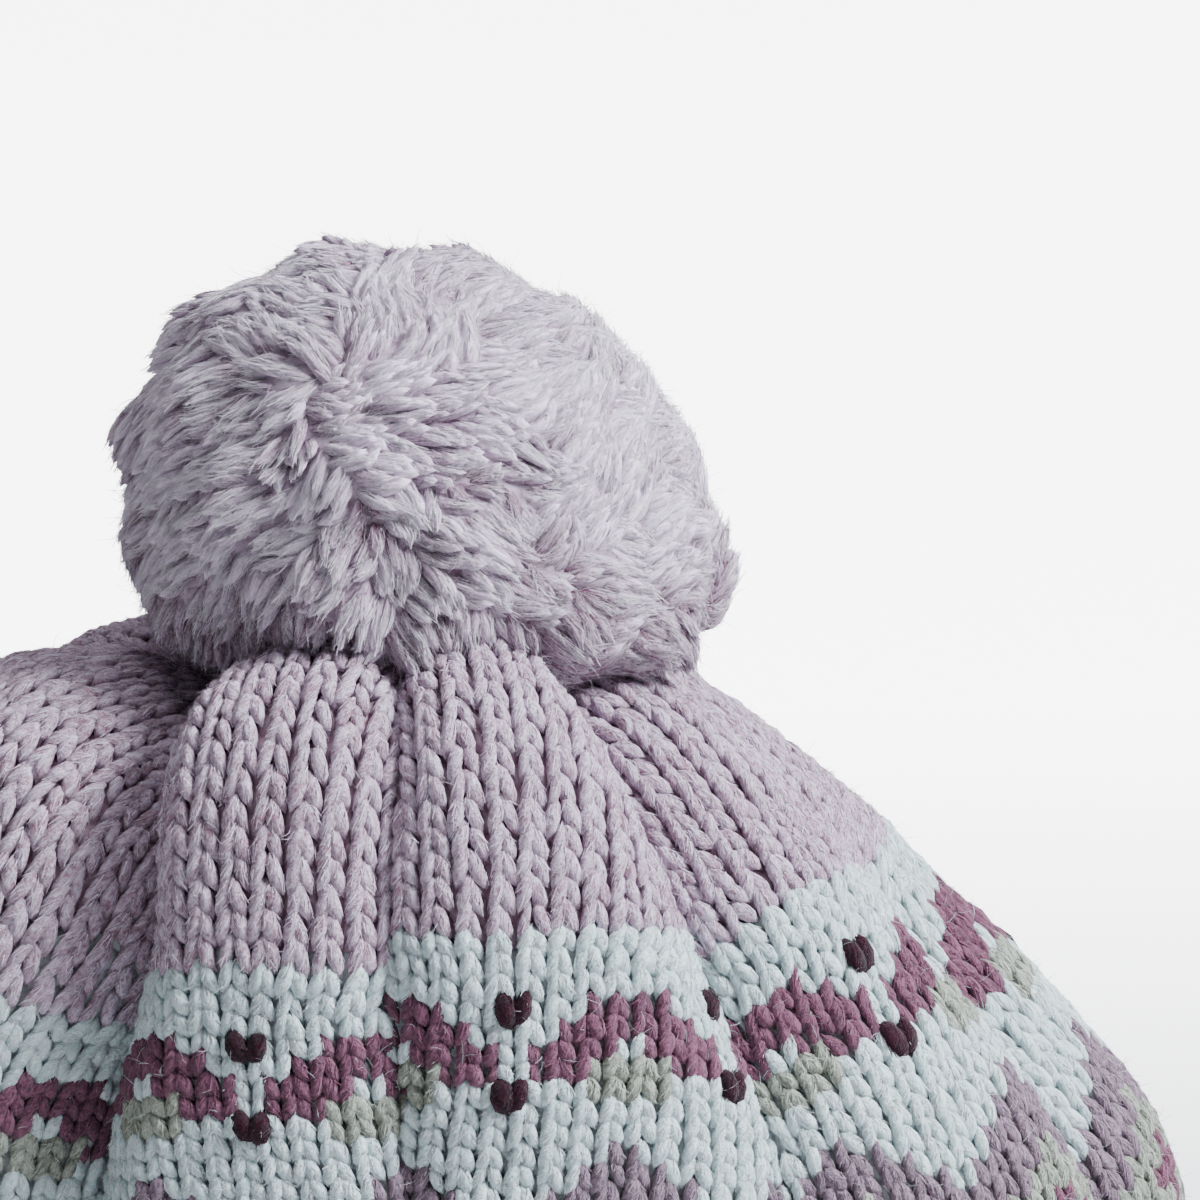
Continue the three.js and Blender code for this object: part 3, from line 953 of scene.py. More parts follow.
@dataclass(frozen=True)
class FleeceFinish:
    """Tufts and hairs of the pompom: dark at the root as painted shade, with fine streaks that run
    to the tip.
    """

    name: str
    light: Colour
    dark: Colour
    sheen: float = 0.12

    def make(self) -> bpy.types.Material:
        """The finish as a material on strands."""
        graph = Graph(self.name)
        turn, along, place = graph.strand_map()
        shade = graph.shade()
        streak = graph.noise(graph.combine(turn * 12.0, along * 1.4, shade * 61.0), 1.5, 3.0, 0.65)
        fuzz = graph.noise(place, 2400.0, 3.0, 0.7)
        # The along term darkens tufts and hairs towards the root: painted shade. The streaks and
        # the fuzz are random tone.
        tone = (along * 0.65 + streak * 1.20 + shade * 0.90 + fuzz * 1.00 - 1.19).clamp()
        colour = graph.blend(tone, self.dark, self.light)
        return graph.finish({"Roughness": 1.0, "Sheen Weight": self.sheen, "Sheen Roughness": 0.5,
                             "Sheen Tint": (1.0, 0.96, 0.98, 1.0), "Specular IOR Level": 0.08},
                            colour, streak * 0.7 + fuzz * 0.4, 0.00035, 0.9)


# How far the fibres over the yarn depart from its own light and shaded colours
FIBRE_LIGHTER = 1.30
FIBRE_DARKER = 0.62


@dataclass
class Palette:
    """The materials of the hat."""

    yarns: list[bpy.types.Material]
    fibres: list[bpy.types.Material]
    pink_inside: bpy.types.Material
    cream_inside: bpy.types.Material
    fleece: bpy.types.Material
    fleece_fibre: bpy.types.Material
    core: bpy.types.Material
    hairs: list[bpy.types.Material]

    @classmethod
    def make(cls) -> Palette:
        """Makes every material."""
        colours = {
            Yarn.PINK: ("pink", srgb(230, 211, 231), srgb(160, 118, 138)),
            Yarn.CREAM: ("cream", srgb(240, 255, 255), srgb(200, 221, 223)),
            Yarn.ROSE: ("rose", srgb(146, 94, 116), srgb(86, 52, 70)),
            Yarn.MAUVE: ("mauve", srgb(166, 142, 158), srgb(102, 84, 98)),
            Yarn.BEIGE: ("beige", srgb(190, 194, 180), srgb(126, 128, 116)),
            Yarn.BURGUNDY: ("burgundy", srgb(54, 5, 28), srgb(18, 1, 9)),
        }
        yarns, fibres = [], []
        for yarn in YARNS:
            name, light, dark = colours[yarn]
            yarns.append(YarnFinish(f"{name}_wool", light, dark).make())
            pale, deep = scaled(light, FIBRE_LIGHTER), scaled(dark, FIBRE_DARKER)
            fibres.append(FleeceFinish(f"{name}_fibre", pale, deep).make())
        def fleece(name: str, light: Colour, dark: Colour, **more: float) -> bpy.types.Material:
            """A finish of the pompom or of the hairs."""
            return FleeceFinish(name, light, dark, **more).make()
        # The backing colours are darker than the yarns: painted shade for the gaps between the
        # stitches.
        pink_purl = BackingFinish("pink_purl_side_painted_shade", srgb(216, 186, 202), srgb(158, 120, 138))
        cream_purl = BackingFinish("cream_purl_side_painted_shade", srgb(236, 243, 242), srgb(196, 204, 205))
        return cls(yarns, fibres, pink_purl.make(), cream_purl.make(),
                   fleece("pompom_fleece", srgb(234, 214, 234), srgb(110, 70, 92)),
                   fleece("pompom_fibre", srgb(255, 246, 255), srgb(130, 88, 112)),
                   fleece("pompom_core_wool", srgb(204, 184, 202), srgb(132, 98, 118), sheen=0.1),
                   [fleece("pink_hair", srgb(236, 222, 234), srgb(186, 158, 176)),
                    fleece("cream_hair", srgb(236, 246, 244), srgb(186, 192, 192))])


# --- knitted pieces


@dataclass(frozen=True)
class Leg:
    """One leg of a stitch in its cell: offsets in columns and rows from the cell's middle,
    bow in columns, and half sizes, lift and dive in metres."""

    start: tuple[float, float]
    end: tuple[float, float]
    bow: float = 0.0
    wide: float = 0.00098
    thick: float = 0.00088
    lift: float = 0.00005
    dive: float = 0.00075


LEFT_LEG = Leg((-0.49, -0.80), (0.02, 0.86), -0.05, 0.00116, 0.00092, 0.00000, 0.00038)
RIGHT_LEG = Leg((0.47, -0.93), (0.14, 0.93), 0.03, 0.00104, 0.00090, 0.00010, 0.00038)
LEFT_HEART = Leg((-0.34, -0.95), (-0.02, 1.05), -0.12, 0.00146, 0.00112, 0.00062, 0.0001)
RIGHT_HEART = Leg((0.38, -0.98), (0.04, 1.05), 0.12, 0.00146, 0.00112, 0.00064, 0.0001)
PURL_BAR = Leg((-0.66, 0.12), (0.66, -0.12), 0.0, 0.00100, 0.00080, 0.00010, 0.0005)
EDGE_LOOP = Leg((-0.60, -0.45), (0.60, 0.35), 0.0, 0.00095, 0.00095, 0.00010, 0.0004)


@dataclass
class LegRun:
    """Legs of one kind on a panel, each with its own shift, size and lift."""

    panel: Panel
    leg: Leg
    column: Array
    row: Array
    shift: Array
    size: Array
    raised: Array

    def course(self, share: Array) -> tuple[Array, Array, Array]:
        """The legs at some shares of their length.

        Args:
            share: Shares, legs by points or one row for all.

        Returns:
            Middle points, outward normals, and how full the leg is at each.
        """
        leg = self.leg
        arch = np.sin(np.pi * np.clip(share, 0, 1))
        across = (self.column[:, None] + leg.start[0] + (leg.end[0] - leg.start[0]) * share
                  + leg.bow * arch + self.shift[:, :1])
        down = (self.row[:, None] + 0.5 + leg.start[1] + (leg.end[1] - leg.start[1]) * share
                + self.shift[:, 1:])
        normal = self.panel.normal(across, down)
        height = -leg.dive + (leg.lift + leg.dive) * arch**0.7 + self.raised
        fullness = np.clip(np.sin(np.pi * (0.04 + 0.92 * np.clip(share, 0, 1))), 0, 1) ** 0.65
        return self.panel.point(across, down) + normal * height[..., None], normal, fullness

    def repeated(self, times: int) -> LegRun:
        """The same legs, each of them several times."""
        return LegRun(self.panel, self.leg, *(np.repeat(values, times, axis=0) for values in (
            self.column, self.row, self.shift, self.size, self.raised)))


@dataclass
class Stitcher:
    """Lays legs of yarn on a panel, each with small irregularities, and fibres along them."""

    rng: np.random.Generator
    jitter: float = 0.045
    wander: float = 0.09
    fibre_half_width: float = 0.00008

    def run(self, panel: Panel, leg: Leg, column: Array, row: Array) -> LegRun:
        """One leg for each stitch, moved a little, its neighbours with it."""
        count = len(column)
        across = np.sin(column * 2.1 + row * 0.55) + np.sin(column * 5.3 - row * 0.31)
        down = np.sin(column * 3.7 + row * 0.23) + np.sin(column * 1.3 + row * 0.71)
        drift = np.stack([across, down], axis=1)
        shift = self.rng.normal(0, self.jitter, (count, 2)) + drift * self.wander / 2
        return LegRun(panel, leg, column, row, shift, self.rng.normal(1, 0.09, (count, 1)),
                      self.rng.normal(0, 0.00010, (count, 1)))

    def bodies(self, run: LegRun, shape: StrandShape, yarn: Array) -> StrandBatch:
        """The legs themselves.

        Args:
            run: The legs.
            shape: Strand to lay.
            yarn: Material numbers.

        Returns:
            The strands.
        """
        count = len(run.column)
        centre, normal, fullness = run.course(np.linspace(0, 1, shape.rings)[None])
        full = fullness * run.size
        vertices = shape.place(centre, normal, run.leg.wide * full, run.leg.thick * full)
        return StrandBatch(shape, vertices, yarn, self.rng.random(count),
                           self.rng.random((count, 2)))

    def fibres(self, run: LegRun, times: int, yarn: Array) -> StrandBatch:
        """Fine fibres that lie askew over the face of each leg and end a little off it.

        Args:
            run: The legs.
            times: Fibres on each leg.
            yarn: Material numbers of the legs.

        Returns:
            The fibres.
        """
        shape = StrandShape.ribbon(1)
        run = run.repeated(times)
        count = len(run.column)
        step = np.linspace(0, 1, shape.rings)[None]
        each = (count, 1)
        share = self.rng.uniform(0.0, 0.68, each) + self.rng.uniform(0.15, 0.34, each) * step
        centre, normal, fullness = run.course(share)
        side = unit(np.cross(unit(np.gradient(centre, axis=1)), normal))
        turn = self.rng.uniform(-1.3, 1.3, each) + self.rng.normal(0.35, 0.6, each) * step
        off = 1.03 + np.abs(self.rng.normal(0, 0.22, each)) * step
        out = side * np.sin(turn)[..., None] + normal * np.cos(turn)[..., None]
        wide, thick = run.leg.wide * fullness * run.size, run.leg.thick * fullness * run.size
        centre = centre + (side * (wide * np.sin(turn) * off)[..., None]
                           + normal * (thick * np.cos(turn) * off)[..., None])
        half = self.fibre_half_width * self.rng.uniform(0.6, 1.4, each) * FIBRE_TAPER
        return StrandBatch(shape, shape.place(centre, out, half, half), np.repeat(yarn, times),
                           self.rng.random(count), self.rng.random((count, 2)))


@dataclass
class KnitPieces:
    """The stitched crown and body, split into pieces by side and height."""

    layout: KnitLayout
    palette: Palette
    stitcher: Stitcher
    photo_rows: int = 40
    view_up: float = 0.26  # the camera's direction, in the plane of y and z
    view_near: float = 0.97
    grazing: float = -0.12
    fibres_per_leg: int = 13
    fine: StrandShape = field(init=False)
    plain: StrandShape = field(init=False)

    def __post_init__(self) -> None:
        """Makes the two strand shapes, the finer one for the side towards the camera."""
        self.fine = StrandShape.lens(6, 4)
        self.plain = StrandShape.lens(4, 4)

    def build(self, panels: Sequence[Panel]) -> None:
        """Makes the crown and body pieces from the panels of the lobes."""
        crown, total = self.layout.crown_rows, self.layout.crown_rows + self.layout.body_rows
        pieces: dict[str, list[StrandBatch]] = {}
        for panel in panels:
            columns = np.arange(math.ceil(panel.first_column) + 1,
                                panel.first_column + panel.points.shape[1] / panel.fineness - 1)
            column, row = (grid.ravel() for grid in np.meshgrid(columns, np.arange(total)))
            keep = panel.hidden(column, row + 0.5) <= 1e-9
            column, row = column[keep].astype(int), row[keep]
            normal = panel.normal(column, row + 0.5)
            towards_camera = normal[:, 2] * self.view_up - normal[:, 1] * self.view_near
            front = towards_camera > self.grazing
            names = np.where(row < crown, np.where(front, "crown_front", "crown_back"),
                             np.where(~front, "body_back",
                                      np.where(row < self.photo_rows, "body_front", "body_low")))
            yarn = np.where(row < crown, 0, chart_yarns(column, np.maximum(row - crown, 0)))
            for name in np.unique(names):
                mask = names == name
                self._stitches(pieces, str(name), panel, column[mask], row[mask], yarn[mask])
        for name, batches in sorted(pieces.items()):
            materials = self.palette.fibres if name.endswith("fibres") else self.palette.yarns
            piece = join_strands(name, batches, materials)
            settle(piece, *(("crown_yarn", "knit_crown") if name.startswith("crown")
                            else ("body_yarn", "colourwork_body")))

    def _stitches(self, pieces: dict[str, list[StrandBatch]], name: str, panel: Panel,
                  column: Array, row: Array, yarn: Array) -> None:
        """Adds both legs of some stitches to a piece, the hearts larger than the rest."""
        seen = name in ("crown_front", "body_front")
        heart = yarn == YARNS.index(Yarn.BURGUNDY)
        for mask, legs in ((~heart, (LEFT_LEG, RIGHT_LEG)), (heart, (LEFT_HEART, RIGHT_HEART))):
            if not mask.any():
                continue
            for leg in legs:
                run = self.stitcher.run(panel, leg, column[mask], row[mask])
                pieces.setdefault(f"{name}_stitches", []).append(
                    self.stitcher.bodies(run, self.fine if seen else self.plain, yarn[mask]))
                if seen:
                    pieces.setdefault(f"{name}_fibres", []).append(
                        self.stitcher.fibres(run, self.fibres_per_leg, yarn[mask]))


@dataclass
class RibPieces:
    """The ribbed brim: pairs of knit columns, purl bars between them and a cast-on edge."""

    layout: KnitLayout
    palette: Palette
    stitcher: Stitcher
    edge_row: float = 12.9

    def build(self) -> None:
        """Makes the ribbing as one piece."""
        panel = self.layout.rib_panel()
        shape = StrandShape.lens(4, 4)
        column, row = (grid.ravel() for grid in np.meshgrid(
            np.arange(self.layout.columns), np.arange(self.layout.rib_rows - 1)))
        knit = column % 4 < 2
        edge = np.arange(self.layout.columns)
        runs = [self.stitcher.run(panel, leg, column[knit], row[knit])
                for leg in (LEFT_LEG, RIGHT_LEG)]
        runs.append(self.stitcher.run(panel, PURL_BAR, column[~knit], row[~knit]))
        runs.append(self.stitcher.run(panel, EDGE_LOOP, edge, np.full(len(edge), self.edge_row)))
        batches = [self.stitcher.bodies(run, shape, np.zeros(len(run.column), int)) for run in runs]
        piece = join_strands("rib_stitches", batches, self.palette.yarns[:1])
        settle(piece, "rib_yarn", "rib_brim")


@dataclass
class BackingShells:
    """The body of the fabric under the stitches, with the purl side on its inner face. Its colour
    is darker than the yarn: painted shade where it shows between the stitches.
    """

    layout: KnitLayout
    palette: Palette
    sink: float = 0.0011
    lane_cells: int = 16

    def build(self) -> None:
        """Makes one closed shell for each zone."""
        form = self.layout.form
        self._zone("crown_backing", (0.01, 0.9996), 26, form.crown_wall, self.palette.pink_inside,
                   "crown_yarn", "knit_crown")
        self._zone("body_backing", (1.0004, 1.996), 30, form.body_wall, self.palette.cream_inside,
                   "body_yarn", "colourwork_body")
        self._rib()

    def _wrap(self, name: str, outer: Sequence[Array], inner: Sequence[Array], rows: Array,
              material: bpy.types.Material) -> bpy.types.Object:
        """A closed band from rings of points.

        Args:
            name: Name of the object.
            outer: Closed rings of the outer face, from the top down.
            inner: The rings of the inner face.
            rows: Row number of each pair of rings.
            material: Material of the band.

        Returns:
            The object.
        """
        rings = [*outer, *inner[::-1], outer[0]]
        rows = [*rows, *rows[::-1], rows[0]]
        count = len(rings[0])
        mesh = bmesh.new()
        bmesh.ops.create_grid(mesh, x_segments=count, y_segments=len(rings) - 1, size=1.0)
        layer = mesh.loops.layers.uv.new(STRAND_UV)
        places = {}
        for vert in mesh.verts:
            step = round((vert.co.x + 1) / 2 * count)
            level = round((1 - vert.co.y) / 2 * (len(rings) - 1))
            places[vert.index] = (step, level)
        for face in mesh.faces:
            face.smooth = True
            for loop in face.loops:
                step, level = places[loop.vert.index]
                loop[layer].uv = (step * self.layout.columns / count, rows[level])
        for vert in mesh.verts:
            step, level = places[vert.index]
            vert.co = rings[level][step % count]
        bmesh.ops.remove_doubles(mesh, verts=mesh.verts, dist=1e-6)
        bmesh.ops.recalc_face_normals(mesh, faces=mesh.faces)
        return link_bmesh(name, mesh, material)

    def _zone(self, name: str, span: tuple[float, float], cells: int, wall: float,
              material: bpy.types.Material, slot: str, node: str) -> None:
        """The shell of the crown or the body."""
        form = self.layout.form
        even = np.arange(self.lane_cells) / self.lane_cells
        shares = even - np.sin(2 * np.pi * even) / (4 * np.pi)
        places = np.linspace(*span, cells + 1)

        def ring(place: float, inset: float) -> Array:
            """One closed ring of the wall."""
            at = np.full(shares.shape, place)
            return np.concatenate([form.wall_point(lobe, shares, at, inset)
                                   for lobe in range(len(FOLDS))])
        outer = [ring(place, self.sink) for place in places]
        inner = [ring(place, wall) for place in places]
        rows = np.interp(places, self.layout.row_places, np.arange(len(self.layout.row_places)))
        settle(self._wrap(name, outer, inner, rows, material), slot, node)

    def _rib(self) -> None:
        """The shell of the ribbing."""
        layout, form = self.layout, self.layout.form
        columns = np.arange(layout.columns * 2) / 2
        angle = layout.column_angle(columns)
        places = np.linspace(2.004, 2.99, 9)

        def ring(place: float, inset: float, relief: float) -> Array:
            """One closed ring of the ribbing."""
            at = np.full(angle.shape, place)
            depth = layout.rib_wave(columns) * relief + inset
            return form.base_point(angle, at) - form.base_normal(angle, at) * depth[:, None]
        outer = [ring(place, self.sink, layout.rib_relief * 0.9) for place in places]
        inner = [ring(place, form.rib_wall, 0.0) for place in places]
        rows = np.linspace(0, layout.rib_rows, 9)
        settle(self._wrap("rib_backing", outer, inner, rows, self.palette.pink_inside),
               "rib_yarn", "rib_brim")


# --- pompom


# Spots on the pompom as the camera sees them and the way the tufts lie there:
# across, up, way across and way up
GUIDES = (
    (-0.90, 0.35, -1.0, -0.1), (-0.73, 0.67, -0.9, 0.35), (-0.86, -0.06, -0.8, -0.6),
    (-0.53, 0.35, -1.0, -0.2), (-0.40, 0.73, -0.6, 0.6), (-0.30, 0.35, 0.6, -0.3),
    (-0.08, 0.29, 0.85, -0.5), (-0.24, 0.00, -0.45, -0.9), (-0.04, -0.03, 0.5, -0.85),
    (-0.50, -0.22, -0.1, -1.0), (0.12, 0.00, 0.9, -0.35), (0.06, 0.51, 0.8, 0.2),
    (-0.08, 0.83, 0.1, 0.9), (0.25, 0.70, 0.7, 0.5), (0.32, 0.25, 0.75, -0.65),
    (0.48, 0.13, 0.15, 1.0), (0.65, 0.35, 0.5, 0.85), (0.84, 0.10, 1.0, 0.3),
    (0.71, -0.13, 1.0, -0.1), (0.45, -0.16, 0.9, -0.35), (0.58, 0.51, 0.7, 0.6),
    (0.88, -0.29, 0.7, -0.8), (0.19, -0.25, 0.2, -1.0), (-0.35, 0.91, -0.9, 0.2),
    (0.08, 0.97, 0.8, 0.2), (0.42, 0.87, 0.85, 0.3),
)

# Partings between the swirls: across, up and reach
PARTINGS = (
    (0.14, 0.24, 0.045), (0.28, 0.23, 0.040), (0.38, 0.00, 0.045), (0.52, -0.12, 0.050),
    (0.02, 0.84, 0.035), (-0.17, 0.13, 0.045),
)

VIEW_TILT = math.radians(15.0)


def seen_spot(across: Array, up: Array) -> Array:
    """Directions from the pompom's middle to spots that the camera sees on it."""
    near = np.sqrt(np.clip(1 - across**2 - up**2, 0.02, 1))
    return unit(np.stack([across, up * math.sin(VIEW_TILT) - near * math.cos(VIEW_TILT),
                          up * math.cos(VIEW_TILT) + near * math.sin(VIEW_TILT)], axis=-1))


@dataclass
class TuftRun:
    """Tufts of fleece: where they root, the way out, the way they lie, and their own sizes."""

    root: Array
    normal: Array
    flow: Array
    length: Array
    rise: Array
    gather: Array
    bend: Array
    half_width: Array

    def course(self, share: Array) -> Array:
        """Middle points at some shares of their length, which lie over the root from end to end."""
        share = share[..., None]
        side = np.cross(self.normal, self.flow)
        return (self.root[:, None] + self.normal[:, None] * self.rise[:, None] * share**0.8
                + self.flow[:, None] * self.length[:, None] * (share - 0.45)
                + self.gather[:, None] * share**1.4
                + side[:, None] * self.bend[:, None] * np.sin(np.pi * share))

    def repeated(self, times: Array) -> TuftRun:
        """The same tufts, each of them as many times as is given."""
        return TuftRun(*(np.repeat(values, times, axis=0) for values in (
            self.root, self.normal, self.flow, self.length, self.rise, self.gather, self.bend,
            self.half_width)))


@dataclass
class Pompom:
    """A soft core, tufts of fleece that lie in swirls, fibres along them and loose hairs."""

    palette: Palette
    rng: np.random.Generator
    centre: tuple[float, float, float] = (0.003, 0.008, 0.172)
    tuft_count: int = 5600
    clump_count: int = 420
    hair_count: int = 3400
    lowest: float = -0.72
    tuft_length: float = 0.0066
    tuft_rise: float = 0.0027
    half_width: float = 0.00106
    front_fibres: int = 29
    back_fibres: int = 12
    ray_reach: float = 0.12
    voxel: float = 0.0024
    guide_reach: float = 0.21
    flow_wander: float = 0.14
    clump_lean: float = 0.38
    clump_gather: float = 0.32
    seen_depth: float = 0.5

    def build(self) -> None:
        """Makes the core, the tufts, their fibres and the hairs."""
        core = self._core(bpy.data.objects["pompom"])
        tree = BVHTree.FromObject(core, bpy.context.evaluated_depsgraph_get())
        settle(core, "pompom_yarn", "pompom")
        outs = self._directions(self.tuft_count)
        outs = outs[(outs[:, 1] < 0.25) | (self.rng.random(len(outs)) < 0.62)]
        roots, normals, outs = self._land(tree, outs)
        run, shade, front = self._tufts(roots, normals, outs, self._flow(outs, normals))
        self._settle("tufts", self._bodies(run, shade), self.palette.fleece)
        times = np.where(front, self.front_fibres, self.back_fibres)
        left = run.root[:, 0] < self.centre[0]
        for name, half in (("left", left), ("right", ~left)):
            here = np.where(half, times, 0)
            fibres = self._fibres(run.repeated(here), np.repeat(shade, here))
            self._settle(f"fibres_{name}", fibres, self.palette.fleece_fibre)
        roots, normals, outs = self._land(tree, self._directions(self.hair_count))
        ways = unit(normals + self._flow(outs, normals) * 1.2)
        hairs = hair_batch(self.rng, roots + normals * 0.001, ways, (0.0018, 0.0034), 0)
        self._settle("hairs", hairs, self.palette.hairs[0])

    def _settle(self, name: str, strands: StrandBatch, material: bpy.types.Material) -> None:
        """Finishes one piece of the pompom."""
        settle(join_strands(f"pompom_{name}", [strands], [material]), "pompom_yarn", "pompom")

    def _core(self, node: bpy.types.Object) -> bpy.types.Object:
        """The CAD pompom, welded and softened."""
        mesh = bmesh.new()
        mesh.from_mesh(node.data)
        bmesh.ops.remove_doubles(mesh, verts=mesh.verts, dist=1e-6)
        draft = link_bmesh("pompom_draft", mesh)
        remesh = draft.modifiers.new("soften", "REMESH")
        remesh.mode = "VOXEL"
        remesh.voxel_size = self.voxel
        smooth = draft.modifiers.new("smooth", "SMOOTH")
        smooth.factor = 0.6
        smooth.iterations = 7
        graph = bpy.context.evaluated_depsgraph_get()
        soft = bpy.data.meshes.new_from_object(draft.evaluated_get(graph))
        bpy.data.objects.remove(draft)
        soft.name = "pompom_core"
        soft.uv_layers.new(name=STRAND_UV)
        shade = soft.attributes.new(SHADE, "FLOAT", "POINT")
        shade.data.foreach_set("value", self.rng.random(len(soft.vertices)).astype(np.float32))
        soft.polygons.foreach_set("use_smooth", np.ones(len(soft.polygons), bool))
        soft.materials.clear()
        soft.materials.append(self.palette.core)
        return link("pompom_core", soft)

    def _directions(self, count: int) -> Array:
        """Even directions over a ball, a little disturbed, without the underside."""
        step = np.arange(count)
        up = 1 - (2 * step + 1) / count
        flat = np.sqrt(1 - up**2)
        turn = np.pi * (3 - np.sqrt(5)) * step
        outs = np.stack([np.cos(turn) * flat, np.sin(turn) * flat, up], axis=1)
        outs = unit(outs + self.rng.normal(0, 0.6 / math.sqrt(count), outs.shape))
        return outs[outs[:, 2] > self.lowest]

    def _land(self, tree: BVHTree, outs: Array) -> tuple[Array, Array, Array]:
        """Points and normals of the core in some directions from its middle."""
        centre = Vector(self.centre)
        roots, normals, kept = [], [], []
        for out in outs:
            way = Vector(out)
            hit, normal, _, _ = tree.ray_cast(centre + way * self.ray_reach, -way)
            if hit is not None:
                roots.append(hit)
                normals.append(normal)
                kept.append(out)
        kept = np.array(kept)
        return np.array(roots), unit(unit(np.array(normals)) * 0.5 + kept * 0.5), kept

    def _flow(self, outs: Array, normals: Array) -> Array:
        """The way the tufts lie: by the guides in front, in a slow swirl behind."""
        table = np.array(GUIDES)
        spots = seen_spot(table[:, 0], table[:, 1])
        ways = np.stack([table[:, 2], table[:, 3] * math.sin(VIEW_TILT),
                         table[:, 3] * math.cos(VIEW_TILT)], axis=1)
        gap = np.linalg.norm(outs[:, None] - spots[None], axis=2)
        front = (np.exp(-(gap / self.guide_reach) ** 2)[..., None] * ways[None]).sum(axis=1)
        turn = 2.4 * np.sin(2.1 * outs[:, 0] + 1.3) + 1.7 * np.cos(2.9 * outs[:, 2])
        behind = np.stack([np.cos(turn) * -outs[:, 1], np.cos(turn) * outs[:, 0], np.sin(turn)],
                          axis=1)
        behind *= (0.03 + smooth_step(-0.35, 0.25, outs[:, 1]))[:, None]
        flow = front + behind
        flow = unit(flow - normals * (flow * normals).sum(axis=1, keepdims=True))
        flow = flow + self.rng.normal(0, self.flow_wander, outs.shape)
        return unit(flow - normals * (flow * normals).sum(axis=1, keepdims=True))

    def _tufts(self, roots: Array, normals: Array, outs: Array,
               flow: Array) -> tuple[TuftRun, Array, Array]:
        """Tufts whose tips gather in clumps and lean away from the partings.

        Args:
            roots: Points of the core.
            normals: The ways out of it.
            outs: Directions from the pompom's middle.
            flow: The ways that the tufts lie.

        Returns:
            The tufts, their shades with painted shade at the partings and on the underside, and
            which of them face the camera.
        """
        partings = np.array(PARTINGS)
        away = outs[:, None] - seen_spot(partings[:, 0], partings[:, 1])[None]
        nearness = np.exp(-(np.linalg.norm(away, axis=2) / (partings[None, :, 2] * 1.9)) ** 2)
        push = (nearness[..., None] * unit(away)).sum(axis=1)
        opened = nearness.max(axis=1)
        keep = opened < 0.92
        roots, normals, outs, flow, push, opened = (
            values[keep] for values in (roots, normals, outs, flow, push, opened))
        count = len(roots)
        heads = self._directions(self.clump_count)
        clump = np.argmax(outs @ heads.T, axis=1)
        lean = self.rng.normal(0, self.clump_lean, len(heads))[clump][:, None]
        flow = unit(flow * np.cos(lean) + np.cross(normals, flow) * np.sin(lean) + push * 1.4)
        length = self.tuft_length * np.clip(self.rng.normal(1, 0.16, (count, 1)), 0.6, 1.4)
        swell = 0.0004 * self.rng.normal(0, 1, len(heads))[clump][:, None]
        rise = np.maximum(self.tuft_rise * self.rng.normal(1, 0.15, (count, 1)) + swell, 0.0010)
        rise = rise * (1 - 0.4 * opened[:, None])
        run = TuftRun(roots - normals * 0.0014, normals, flow, length, rise, np.zeros((count, 3)),
                      self.rng.normal(0, 0.0005, (count, 1)),
                      self.half_width * np.clip(self.rng.normal(1, 0.15, (count, 1)), 0.6, 1.5))
        tips = run.course(np.ones((count, 1)))[:, 0]
        sums = np.zeros((len(heads), 3))
        np.add.at(sums, clump, tips)
        middle = sums / np.maximum(np.bincount(clump, minlength=len(heads)), 1)[:, None]
        run.gather = (middle[clump] - tips) * self.clump_gather
        shade = self.rng.normal(0.5, 0.16, count) + self.rng.normal(0, 0.12, len(heads))[clump]
        # Painted shade: tufts are darker near the partings and towards the underside of the pompom,
        # where shade falls.
        shade = np.clip(shade - 0.6 * opened - 1.0 * smooth_step(-0.25, 0.3, -outs[:, 2]), 0, 1)
        return run, shade, outs[:, 1] < self.seen_depth

    def _bodies(self, run: TuftRun, shade: Array) -> StrandBatch:
        """The tufts as closed strands with round ends."""
        shape = StrandShape.lens(4, 5)
        centre = run.course(np.linspace(0, 1, shape.rings)[None].repeat(len(run.root), axis=0))
        wide = run.half_width * np.array([[0.0, 0.85, 1.05, 1.0, 0.75, 0.0]])
        out = np.broadcast_to(run.normal[:, None], centre.shape)
        phase = np.stack([self.rng.random(len(shade)), np.zeros(len(shade))], axis=1)
        return StrandBatch(shape, shape.place(centre, out, wide, wide * 0.75),
                           np.zeros(len(shade), int), shade, phase)

    def _fibres(self, run: TuftRun, shade: Array) -> StrandBatch:
        """Fine fibres over the face of each tuft, a little askew and a little off it."""
        shape = StrandShape.ribbon(1)
        count = len(shade)
        step = np.linspace(0, 1, shape.rings)[None]
        each = (count, 1)
        share = self.rng.uniform(0.0, 0.72, each) + self.rng.uniform(0.22, 0.46, each) * step
        centre = run.course(share)
        side = unit(np.cross(run.flow, run.normal))[:, None]
        turn = self.rng.uniform(-1.4, 1.4, each) + self.rng.normal(0, 0.6, each) * (step - 0.5)
        full = run.half_width * np.sin(np.pi * np.clip(share, 0.1, 0.88)) ** 0.5
        off = full * (1.0 + np.abs(self.rng.normal(0, 0.24, each)) * (0.3 + 0.7 * step))
        out = side * np.sin(turn)[..., None] + run.normal[:, None] * np.cos(turn)[..., None]
        centre = (centre + side * (off * np.sin(turn))[..., None]
                  + run.normal[:, None] * (off * 0.78 * np.cos(turn))[..., None])
        half = self.rng.uniform(0.00005, 0.00011, each) * FIBRE_TAPER
        tone = np.clip(shade + self.rng.normal(0, 0.15, count), 0, 1)
        phase = np.stack([self.rng.random(count), share[:, 0] * 0.7], axis=1)
        vertices = shape.place(centre, out, half, half)
        return StrandBatch(shape, vertices, np.zeros(count, int), tone, phase)


